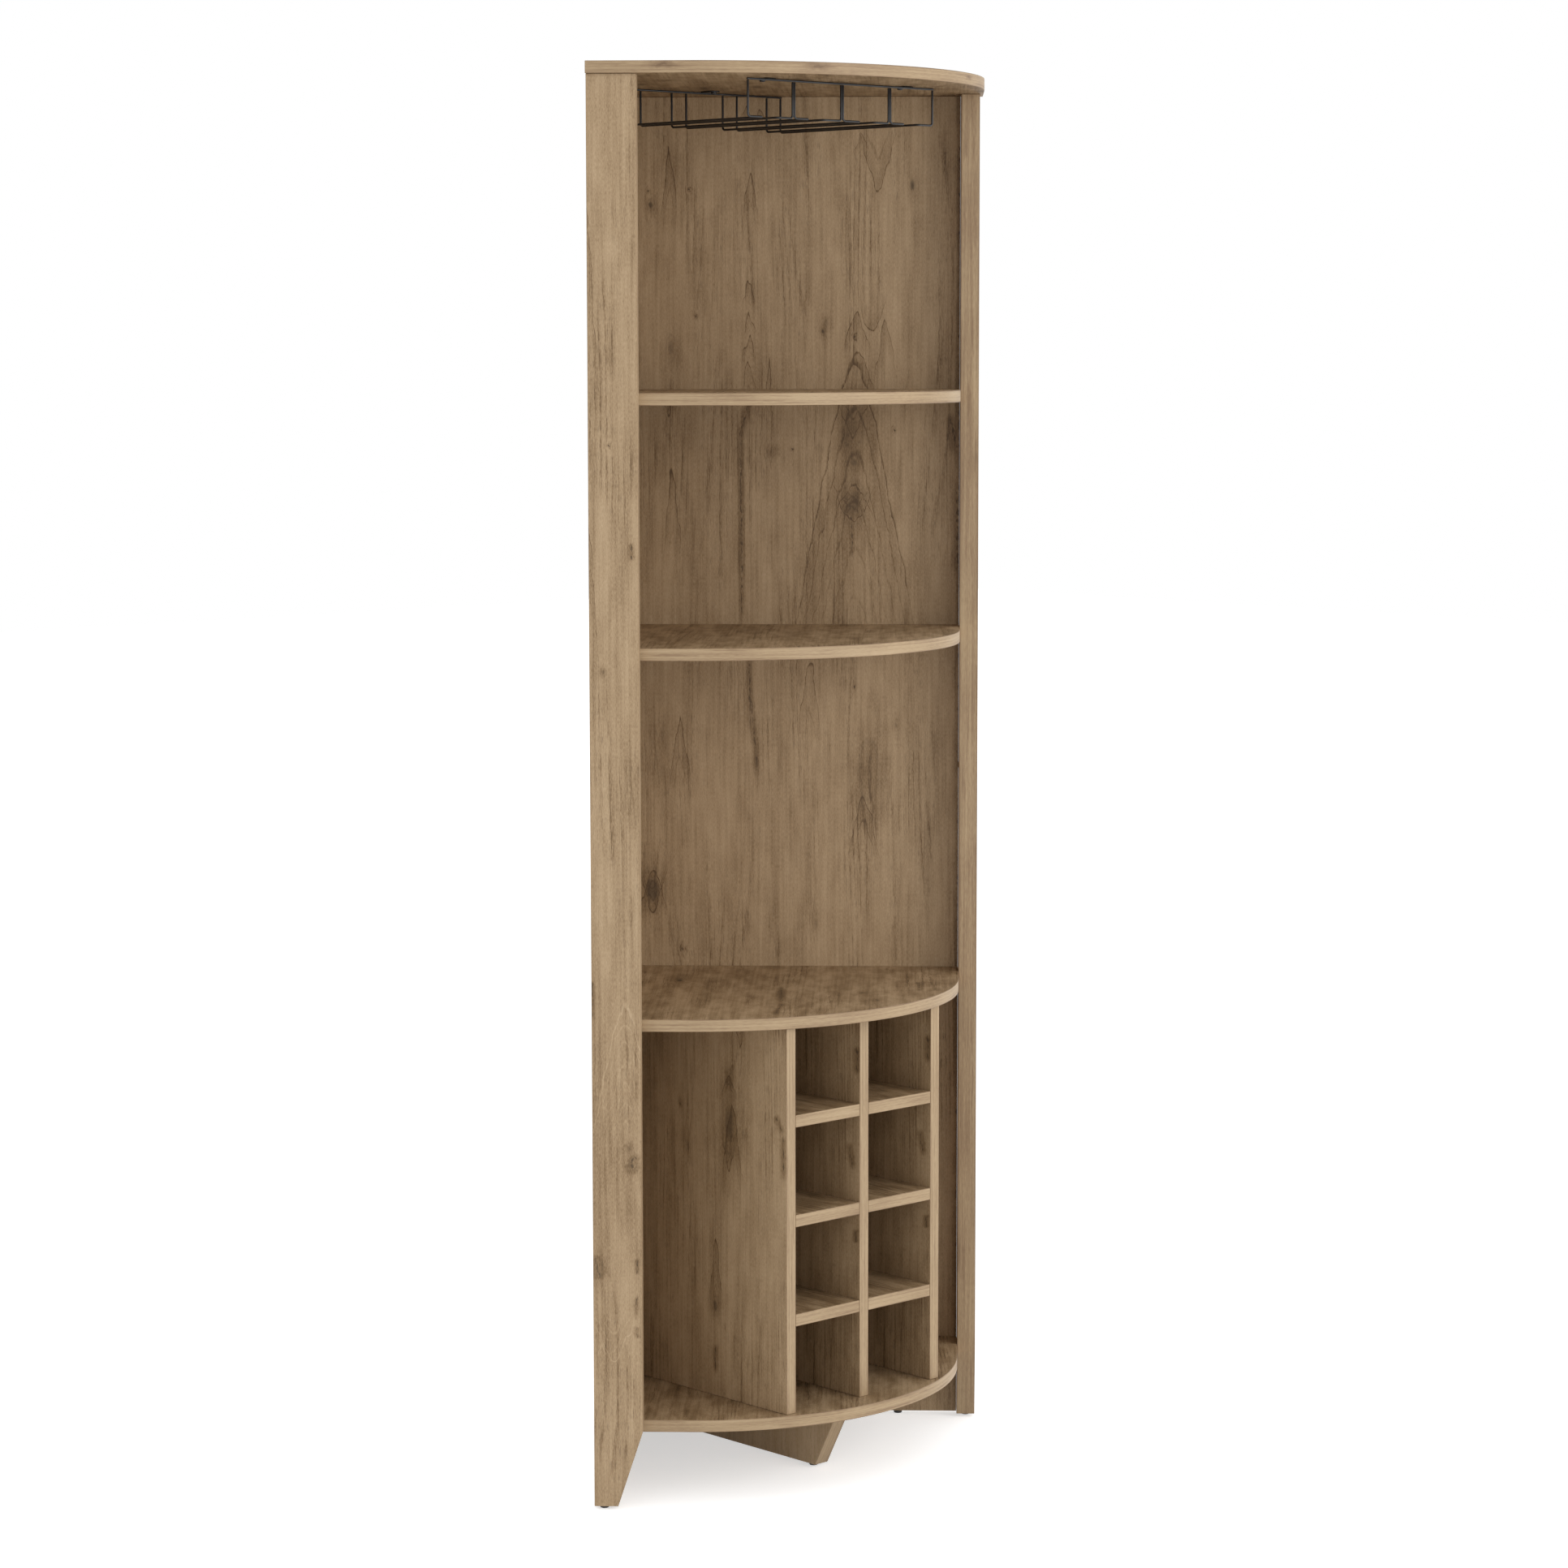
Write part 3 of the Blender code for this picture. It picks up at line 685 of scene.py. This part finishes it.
# The shelves' low tone is painted shade, for the shade inside the bays; their cloud and lines are print
shelfLookAndShade = {"Tone": 0.36, "Cloud": 2.0, "Lines": 0.36}
plainOak = makeOak("plainOak")
shelfOak = makeOak("shelfOak", **shelfLookAndShade)
# Its low tone is painted shade, for the shade in the rack's cubbies
rackOak = makeOak("rackOak", Tone=0.33, Cloud=2.2, Lines=0.5)
# Its high tone is painted light: the leg made paler for the light thrown up onto it under the bottom shelf
legOak = makeOak("legOak", Tone=0.82)
# Its lower tone is painted shade, for the shade under the top
topOak = makeOak(
    "topOak", **{**shelfLookAndShade, "Tone": 0.31},
    knots=[
        (54.7, 274.3, 6, 1.6, 0.5), (92.2, 350.3, 5, 1.6, 0.5), (129.6, 190.3, 8, 1.8, 0.5),
        (198.7, 219.3, 7, 1.8, 0.5), (256.4, 357.5, 5, 1.6, 0.4), (320.9, 276.9, 6, 1.6, 0.4),
    ])
print("finishes ready")


# Boards: a merged copy of the CAD solid, eased along its outer edges, with a grain map

boardLook = {
    "mergeWithin": 0.00002,
    "flatWithin": 0.6,          # degrees
    "outerWithin": 0.00003,
    "sharpFrom": 20,            # degrees between two outer faces
    "easing": 0.0005,
    "easingSteps": 2,
    "broadFrom": 0.7,           # how far a normal leans to the thickness, on a broad face
    "edgeUpTo": 0.2,            # and on an edge
    "straightFrom": 0.9995,     # how far it leans along or across the grain, on a straight edge
}


def outerFaces(bm):
    # The faces with nothing of the board in front of them, so not the walls of its bores
    points = [vert.co for vert in bm.verts]
    found = set()
    for face in bm.faces:
        level = face.normal.dot(face.verts[0].co)
        if all(face.normal.dot(point) < level + boardLook["outerWithin"] for point in points):
            found.add(face)
    return found


def outerEdges(bm, degrees):
    # Where two outer faces meet at more than this angle
    outer = outerFaces(bm)
    return [edge for edge in bm.edges
            if len(edge.link_faces) == 2 and all(face in outer for face in edge.link_faces)
            and edge.calc_face_angle() > math.radians(degrees)]


def easeEdges(bm, edges, offset, steps, clamp=False):
    bmesh.ops.bevel(bm, geom=edges, offset=offset, offset_type="OFFSET", segments=steps, affect="EDGES",
                    profile=0.5, material=-1, clamp_overlap=clamp)


def vertsAndEdges(items):
    verts = [item for item in items if isinstance(item, bmesh.types.BMVert)]
    edges = [item for item in items if isinstance(item, bmesh.types.BMEdge)]
    return verts, edges


def addObject(name, data):
    item = bpy.data.objects.new(name, data)
    bpy.context.scene.collection.objects.link(item)
    return item


def addPiece(name, bm, finishes, replaced):
    mesh = bpy.data.meshes.new(name)
    bm.to_mesh(mesh)
    bm.free()
    for finish in finishes:
        mesh.materials.append(finish)
    piece = addObject(name, mesh)
    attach(piece, "root")
    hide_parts(replaced)
    return piece


def mergedCopy(nodeName):
    bm = bmesh.new()
    bm.from_mesh(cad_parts[nodeName].data)
    bmesh.ops.remove_doubles(bm, verts=bm.verts, dist=boardLook["mergeWithin"])
    bmesh.ops.dissolve_limit(bm, angle_limit=math.radians(boardLook["flatWithin"]), verts=bm.verts,
                             edges=bm.edges)
    return bm


def dressBoard(nodeName, across, grain, finish, band=edgeBand, shift=(0, 0)):
    bm = mergedCopy(nodeName)
    through = across.cross(grain)
    easeEdges(bm, outerEdges(bm, boardLook["sharpFrom"]), boardLook["easing"], boardLook["easingSteps"],
              clamp=True)
    outer = outerFaces(bm)
    levels = [vert.co.dot(through) for vert in bm.verts]
    middle = (max(levels) + min(levels)) / 2
    half = (max(levels) - min(levels)) / 2
    layer = bm.loops.layers.uv.new("grain")
    for face in bm.faces:
        normal = face.normal
        lean = abs(normal.dot(through))
        isBroad = lean > boardLook["broadFrom"]
        isFront = abs(through.z) > 0.5 and normal.y < -0.1
        if face not in outer:
            face.material_index = 2
        else:
            face.material_index = 0 if isBroad else 1
        # Smooth where an edge is neither along nor across the grain, as round the curved fronts
        straight = max(abs(normal.dot(across)), abs(normal.dot(grain)))
        face.smooth = straight < boardLook["straightFrom"] and lean < boardLook["edgeUpTo"]
        length = normal.cross(through)
        for loop in face.loops:
            place = loop.vert.co - corner
            sideways = (loop.vert.co.dot(through) - middle) / half * bandLook["halfWidth"]
            if isBroad:
                mapped = (place.dot(across) + shift[0], place.dot(grain) + shift[1])
            elif isFront:
                spoke = loop.vert.co - arcCentre
                mapped = (math.atan2(spoke.x, -spoke.y) * cabinet["arcRadius"] + shift[1], sideways)
            else:
                mapped = (place.dot(length) + shift[1], sideways)
            loop[layer].uv = mapped
    return addPiece(nodeName + "_oak", bm, [finish, band, chipCore], nodeName)


# A shift takes a board to another stretch of its print
dressBoard("wall_panel_right", alongWall(right), up, wallRightOak)
dressBoard("wall_panel_left", alongWall(left), up, plainOak, shift=(3.1, 2.3))
dressBoard("stile_left", outOfWall(left), up, stileLeftOak)
dressBoard("stile_right", outOfWall(right), up, plainOak, band=edgeBandPost, shift=(5.3, 7.9))
for number, name in enumerate(("bottom_shelf", "middle_shelf", "upper_shelf")):
    dressBoard(name, alongWall(right), alongWall(left), shelfOak,
               shift=(7.7 + 1.3 * number, 4.1 + 2.7 * number))
dressBoard("lower_shelf", alongWall(right), alongWall(left), lowerShelfOak)
dressBoard("top_panel", alongWall(right), alongWall(left), topOak, band=edgeBandTop)
towardsFront = Vector((0, -1, 0))
dressBoard("rack_divider_left", towardsFront, up, dividerLeftOak)
dressBoard("rack_divider_middle", towardsFront, up, dividerOak)
dressBoard("rack_divider_right", towardsFront, up, dividerOak)
dressBoard("centre_leg", towardsFront, up, legOak, shift=(9.1, 3.3))
number = 0
for name in sideNames:
    for row in (1, 2, 3):
        number += 1
        dressBoard(f"rack_shelf_{name}_{row}", Vector((1, 0, 0)), towardsFront, rackOak,
                   shift=(11 + 0.9 * number, 1.7 * number))
print("boards ready")


# Bent wires of the glass rack

wireLook = {
    "radius": 0.0014,
    "bendRadius": 0.004,
    "bendSteps": 8,
    "sides": 16,
    "endEasing": 0.0003,
    "endSteps": 2,
}


def ringFacing(bm, spot, direction):
    # The open end of a wire
    turn = direction.to_track_quat("Z", "Y").to_matrix().to_4x4()
    made = bmesh.ops.create_circle(bm, segments=wireLook["sides"], radius=wireLook["radius"],
                                   matrix=Matrix.Translation(spot) @ turn)
    return list({edge for vert in made["verts"] for edge in vert.link_edges})


def bendWire(corners):
    # Drawn out straight to each corner, and turned round it by a spin
    bm = bmesh.new()
    bend = wireLook["bendRadius"]
    directions = [(after - before).normalized() for before, after in zip(corners, corners[1:])]
    edges = ringFacing(bm, corners[0], directions[0])
    startRing = list(edges)
    spot = corners[0].copy()
    for number, direction in enumerate(directions):
        isLast = number == len(directions) - 1
        stop = corners[number + 1] - direction * (0 if isLast else bend)
        verts, edges = vertsAndEdges(bmesh.ops.extrude_edge_only(bm, edges=edges)["geom"])
        bmesh.ops.translate(bm, verts=verts, vec=stop - spot)
        if isLast:
            break
        onward = directions[number + 1]
        turned = bmesh.ops.spin(bm, geom=verts + edges, cent=stop + onward * bend,
                                axis=direction.cross(onward), angle=math.radians(90), dvec=(0, 0, 0),
                                steps=wireLook["bendSteps"])
        edges = vertsAndEdges(turned["geom_last"])[1]
        spot = stop + (direction + onward) * bend
    rims = startRing + edges
    bmesh.ops.holes_fill(bm, edges=rims, sides=0)
    bmesh.ops.recalc_face_normals(bm, faces=bm.faces)
    easeEdges(bm, [edge for edge in rims if edge.is_valid], wireLook["endEasing"], wireLook["endSteps"])
    for face in bm.faces:
        face.smooth = len(face.verts) == 4
    return bm


for number in range(1, 9):
    name = f"glass_wire_{number}"
    low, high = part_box(name)
    thick = wireLook["radius"]
    outer, inner = (low.x + thick, high.x - thick) if number % 2 else (high.x - thick, low.x + thick)
    front, back = low.y + thick, high.y - thick
    lowest = low.z + thick
    corners = [Vector(spot) for spot in (
        (outer, front, high.z), (outer, front, lowest), (inner, front, lowest),
        (inner, back, lowest), (inner, back, high.z))]
    addPiece(name + "_satin", bendWire(corners), [blackSatin], name)
for name in ("glass_rail_front", "glass_rail_rear"):
    low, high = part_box(name)
    middle = (low + high) / 2
    ends = [Vector((low.x, middle.y, middle.z)), Vector((high.x, middle.y, middle.z))]
    addPiece(name + "_satin", bendWire(ends), [blackSatin], name)
print("wires ready")


# Fixing tabs beside the rails, with rounded free corners

tabLook = {
    "cornerRadius": 0.005,
    "cornerSteps": 6,
    "sharpFrom": 60,            # degrees
    "easing": 0.0002,
}
for name, freeEnd in (("front_left", 1), ("front_right", 1), ("rear", -1)):
    bm = mergedCopy("tab_" + name)
    low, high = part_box("tab_" + name)
    farY = high.y if freeEnd > 0 else low.y
    uprights = [edge for edge in bm.edges
                if abs(edge.verts[0].co.z - edge.verts[1].co.z) > 0.001
                and all(abs(vert.co.y - farY) < 0.0001 for vert in edge.verts)]
    easeEdges(bm, uprights, tabLook["cornerRadius"], tabLook["cornerSteps"])
    easeEdges(bm, outerEdges(bm, tabLook["sharpFrom"]), tabLook["easing"], 1)
    addPiece(f"tab_{name}_satin", bm, [blackSatin], "tab_" + name)


# Screws and cam locks: turned heads with a sunk drive

def turnedBody(profile, sides):
    bm = bmesh.new()
    points = [bm.verts.new((radius, 0, height)) for radius, height in profile]
    edges = [bm.edges.new(pair) for pair in zip(points, points[1:])]
    bmesh.ops.spin(bm, geom=points + edges, cent=(0, 0, 0), axis=up, angle=math.tau, steps=sides,
                   dvec=(0, 0, 0), use_merge=True)
    bmesh.ops.remove_doubles(bm, verts=bm.verts, dist=0.000001)
    return bm


def openRim(bm):
    # The edge of the hole in a head, at height zero
    return [edge for edge in bm.edges if len(edge.link_faces) < 2
            and all(abs(vert.co.z) < 0.000001 for vert in edge.verts)]


def sinkHex(bm, radius, depth):
    # A six-sided socket
    rim = openRim(bm)
    made = bmesh.ops.create_circle(bm, segments=6, radius=radius)
    hexEdges = list({edge for vert in made["verts"] for edge in vert.link_edges})
    bmesh.ops.bridge_loops(bm, edges=rim + hexEdges)
    floorVerts, floorEdges = vertsAndEdges(bmesh.ops.extrude_edge_only(bm, edges=hexEdges)["geom"])
    bmesh.ops.translate(bm, verts=floorVerts, vec=up * depth)
    bmesh.ops.holes_fill(bm, edges=floorEdges, sides=0)


def sinkCross(bm, arm, width, depth):
    # A cross-shaped drive, cut from the middle of a grid
    rim = openRim(bm)
    made = bmesh.ops.create_grid(bm, x_segments=3, y_segments=3, size=arm)
    for vert in made["verts"]:
        for axis in (0, 1):
            if abs(vert.co[axis]) < arm * 0.9:
                vert.co[axis] = math.copysign(width / 2, vert.co[axis])
    gridFaces = list({face for vert in made["verts"] for face in vert.link_faces})
    corners = [face for face in gridFaces
               if min(abs(face.calc_center_median().x), abs(face.calc_center_median().y)) > width / 2]
    cross = [face for face in gridFaces if face not in corners]
    bmesh.ops.delete(bm, geom=corners, context="FACES")
    border = [edge for face in cross for edge in face.edges if len(edge.link_faces) == 1]
    bmesh.ops.bridge_loops(bm, edges=rim + border)
    sunk = bmesh.ops.extrude_face_region(bm, geom=cross)
    bmesh.ops.delete(bm, geom=cross, context="FACES")
    bmesh.ops.translate(bm, verts=vertsAndEdges(sunk["geom"])[0], vec=up * depth)


def setPlace(bm, spot, direction):
    # Stood at its place with its shank along a direction
    bmesh.ops.recalc_face_normals(bm, faces=bm.faces)
    turn = direction.to_track_quat("Z", "Y").to_matrix().to_4x4()
    bm.transform(Matrix.Translation(spot) @ turn)
    for face in bm.faces:
        face.smooth = False
    return bm


def headSpot(name, direction, length):
    # Where a straight fitting starts, from the middle of its CAD solid
    low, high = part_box(name)
    return (low + high) / 2 - direction * (length / 2)


def threadedShank(screw):
    # From under the head: a plain neck, then the thread as rings
    shank = screw["shankRadius"]
    root = shank - screw["threadDepth"]
    height = screw["headHeight"] + screw["neck"]
    profile = [(shank, screw["headHeight"]), (shank, height)]
    rootFrom, rootTo, pitch = screw["threadRise"]
    while height < screw["length"] - screw["tip"]:
        profile += [(root, height + rootFrom), (root, height + rootTo), (shank, height + pitch)]
        height += pitch
    return profile


panelScrew = {
    "headRadius": 0.0048,
    "headHeight": 0.003,
    "headEasing": (0.0004, 0.0005),     # above and below
    "shankRadius": 0.003,
    "length": 0.050,
    "neck": 0.012,
    "tip": 0.006,
    "pointRadius": 0.0018,
    "pointLength": 0.002,
    "threadDepth": 0.0008,
    "threadRise": (0.0006, 0.0016, 0.0024),     # to the root, along it, and to the next crest
    "socketRadius": 0.0023,
    "socketDepth": 0.0018,
    "sides": 24,
}


def makePanelScrew():
    head = panelScrew["headRadius"]
    above, below = panelScrew["headEasing"]
    profile = [(head - above, 0), (head, above), (head, panelScrew["headHeight"] - below)]
    profile += threadedShank(panelScrew)
    profile += [(panelScrew["pointRadius"], panelScrew["length"] - panelScrew["pointLength"]),
                (0, panelScrew["length"])]
    bm = turnedBody(profile, panelScrew["sides"])
    sinkHex(bm, panelScrew["socketRadius"], panelScrew["socketDepth"])
    return bm


screws = [(f"screw_{shelf}_shelf_{name}", side) for name, side in sideNames.items()
          for shelf in ("bottom", "lower", "middle", "upper")]
screws += [(f"screw_corner_{number}", right) for number in (1, 2)]
for name, side in screws:
    direction = outOfWall(side)
    bm = setPlace(makePanelScrew(), headSpot(name, direction, panelScrew["length"]), direction)
    addPiece(name + "_socket", bm, [brightSteel], name)

tabScrew = {
    "headRadius": 0.0038,
    "headHeight": 0.0022,
    "headEasing": 0.0002,
    "dome": ((0.62, 0), (0.86, 0.0004), (0.97, 0.0011)),    # a share of the radius, and a height
    "shankRadius": 0.0019,
    "length": 0.0147,
    "neck": 0.0015,
    "tip": 0.004,
    "threadDepth": 0.0005,
    "threadRise": (0.0004, 0.0010, 0.0014),
    "crossArm": 0.00171,
    "crossWidth": 0.0009,
    "crossDepth": 0.0012,
    "sides": 24,
}


def makeTabScrew():
    head = tabScrew["headRadius"]
    easing = tabScrew["headEasing"]
    profile = [(head * share, height) for share, height in tabScrew["dome"]]
    profile += [(head, tabScrew["headHeight"] - easing), (head - easing, tabScrew["headHeight"])]
    profile += threadedShank(tabScrew) + [(0, tabScrew["length"])]
    bm = turnedBody(profile, tabScrew["sides"])
    sinkCross(bm, tabScrew["crossArm"], tabScrew["crossWidth"], tabScrew["crossDepth"])
    return bm


for name in ("front_left", "front_right", "rear"):
    nodeName = "tab_screw_" + name
    bm = setPlace(makeTabScrew(), headSpot(nodeName, up, tabScrew["length"]), up)
    addPiece(nodeName + "_cross", bm, [blackSatin], nodeName)

camLock = {
    "radius": 0.0074,
    "height": 0.012,
    "easing": 0.0003,
    "groove": (0.80, 0.86, 0.90),       # its floor and its far lip, as shares of the radius
    "crossArm": 0.0037,
    "crossWidth": 0.0016,
    "crossDepth": 0.0020,
    "sides": 32,
}


def makeCamLock():
    radius = camLock["radius"]
    easing = camLock["easing"]
    floorFrom, floorTo, lip = (radius * share for share in camLock["groove"])
    profile = [(floorFrom, 0), (floorFrom, easing), (floorTo, easing), (lip, 0), (radius - easing, 0),
               (radius, easing), (radius, camLock["height"]), (0, camLock["height"])]
    bm = turnedBody(profile, camLock["sides"])
    sinkCross(bm, camLock["crossArm"], camLock["crossWidth"], camLock["crossDepth"])
    return bm


for name, side in sideNames.items():
    nodeName = "cam_lock_" + name
    direction = outOfWall(side)
    bm = setPlace(makeCamLock(), headSpot(nodeName, direction, camLock["height"]), direction)
    addPiece(nodeName + "_cross", bm, [castZinc], nodeName)


# Floor glides: a moulded pad with a rounded foot, and a pin up into the board

glideLook = {
    "radius": 0.0057,
    "padHeight": 0.0042,
    "padEasing": 0.0003,
    "pinRadius": 0.001,
    "height": 0.0142,
    "rounding": 0.0014,
    "roundingSteps": 5,
    "sides": 32,
    "creaseFrom": 40,           # degrees
}


def makeGlide():
    radius, rounding, easing = (glideLook[key] for key in ("radius", "rounding", "padEasing"))
    pin, pad, height = (glideLook[key] for key in ("pinRadius", "padHeight", "height"))
    profile = [(0, 0), (radius - rounding, 0)]
    for step in range(1, glideLook["roundingSteps"] + 1):
        turn = math.radians(90) * step / glideLook["roundingSteps"]
        profile.append((radius - rounding + rounding * math.sin(turn), rounding - rounding * math.cos(turn)))
    profile += [(radius, pad - easing), (radius - easing, pad), (pin, pad), (pin, height), (0, height)]
    return turnedBody(profile, glideLook["sides"])


for name in ("stile_left", "stile_right", "wall_left", "wall_right", "corner_left", "corner_right",
             "centre_leg"):
    nodeName = "glide_" + name
    low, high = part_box(nodeName)
    bm = setPlace(makeGlide(), Vector(((low.x + high.x) / 2, (low.y + high.y) / 2, low.z)), up)
    piece = addPiece(nodeName + "_moulded", bm, [darkNylon], nodeName)
    piece.data.shade_smooth()
    piece.data.set_sharp_from_angle(angle=math.radians(glideLook["creaseFrom"]))

# Hidden fittings keep their solids and get their finish
hiddenFinishes = {"dowel": beechPeg, "cam_bolt": brightSteel}
for nodeName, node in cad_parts.items():
    for start, finish in hiddenFinishes.items():
        if nodeName.startswith(start):
            node.data.materials.clear()
            node.data.materials.append(finish)
print("fittings ready")


# Floor, light and camera

studio = {
    "floorSize": 14.0,
    "floorLift": 0.55,          # how much the paper glows, for what sees it directly
    "domeLevel": 0.85,
    "lampPower": 52.0,
    "lampSize": 2.4,
    "lampPlace": (1.2, -3.9, 1.9),
    "lampAim": (0, 0, 0.9),
}


def seenDirectly(tree):
    # 1 for what the camera sees, also in metal and through glass
    path = newStep(tree, "LightPath").outputs
    seen = larger(tree, path["Is Camera Ray"], path["Is Glossy Ray"])
    return larger(tree, seen, path["Is Transmission Ray"])


def makeFloor():
    bm = bmesh.new()
    bmesh.ops.create_grid(bm, x_segments=1, y_segments=1, size=studio["floorSize"])
    mesh = bpy.data.meshes.new("studioFloor")
    bm.to_mesh(mesh)
    bm.free()
    floor = addObject("studioFloor", mesh)
    finish, tree, shader = newFinish("studioPaper")
    speckle = noise(tree, objectPlace(tree), scale=60)
    paper = ramp(tree, speckle, [(0.0, (0.87, 0.87, 0.87)), (1.0, (0.89, 0.89, 0.89))])
    fill(tree, shader.inputs, **{"Base Color": paper, "Roughness": 0.9, "Specular IOR Level": 0.0})
    lift = newStep(tree, "Emission")
    fill(tree, lift.inputs, Strength=times(tree, seenDirectly(tree), studio["floorLift"]))
    both = newStep(tree, "AddShader", shader.outputs[0], lift.outputs[0])
    fill(tree, tree.nodes["Material Output"].inputs, Surface=both.outputs[0])
    mesh.materials.append(finish)


def makeWorld():
    world = bpy.data.worlds.new("whiteStudio")
    bpy.context.scene.world = world
    world.use_nodes = True
    tree = world.node_tree
    dome = tree.nodes["Background"]
    fill(tree, dome.inputs, Color=(1, 1, 1, 1), Strength=studio["domeLevel"])
    backdrop = newStep(tree, "Background", (1, 1, 1, 1), 1.0)
    either = newStep(tree, "MixShader", seenDirectly(tree), dome.outputs[0], backdrop.outputs[0])
    fill(tree, tree.nodes["World Output"].inputs, Surface=either.outputs[0])


def makeLamp():
    lamp = bpy.data.lights.new("softBox", "AREA")
    lamp.shape = "SQUARE"
    lamp.size = studio["lampSize"]
    lamp.energy = studio["lampPower"]
    holder = addObject("softBox", lamp)
    holder.location = studio["lampPlace"]
    aim = Vector(studio["lampAim"]) - holder.location
    holder.rotation_euler = aim.to_track_quat("-Z", "Y").to_euler()


cameraLook = {
    "place": (-3.55403, -3.84357, 1.45841),
    "forward": (0.680506, 0.724744, -0.107969),
    "roll": -0.00119,
    "lens": 92.283,
    "sensorWidth": 36,
    "clipEnd": 60,
}


def makeCamera():
    camera = bpy.data.cameras.new("photoCamera")
    camera.sensor_width = cameraLook["sensorWidth"]
    camera.lens = cameraLook["lens"]
    camera.clip_end = cameraLook["clipEnd"]
    holder = addObject("photoCamera", camera)
    look = Vector(cameraLook["forward"]).to_track_quat("-Z", "Y").to_matrix().to_4x4()
    roll = Matrix.Rotation(cameraLook["roll"], 4, "Z")
    holder.matrix_world = Matrix.Translation(cameraLook["place"]) @ look @ roll
    bpy.context.scene.camera = holder


makeFloor()
makeWorld()
makeLamp()
makeCamera()
bpy.context.scene.view_settings.view_transform = "Standard"
print("studio ready")
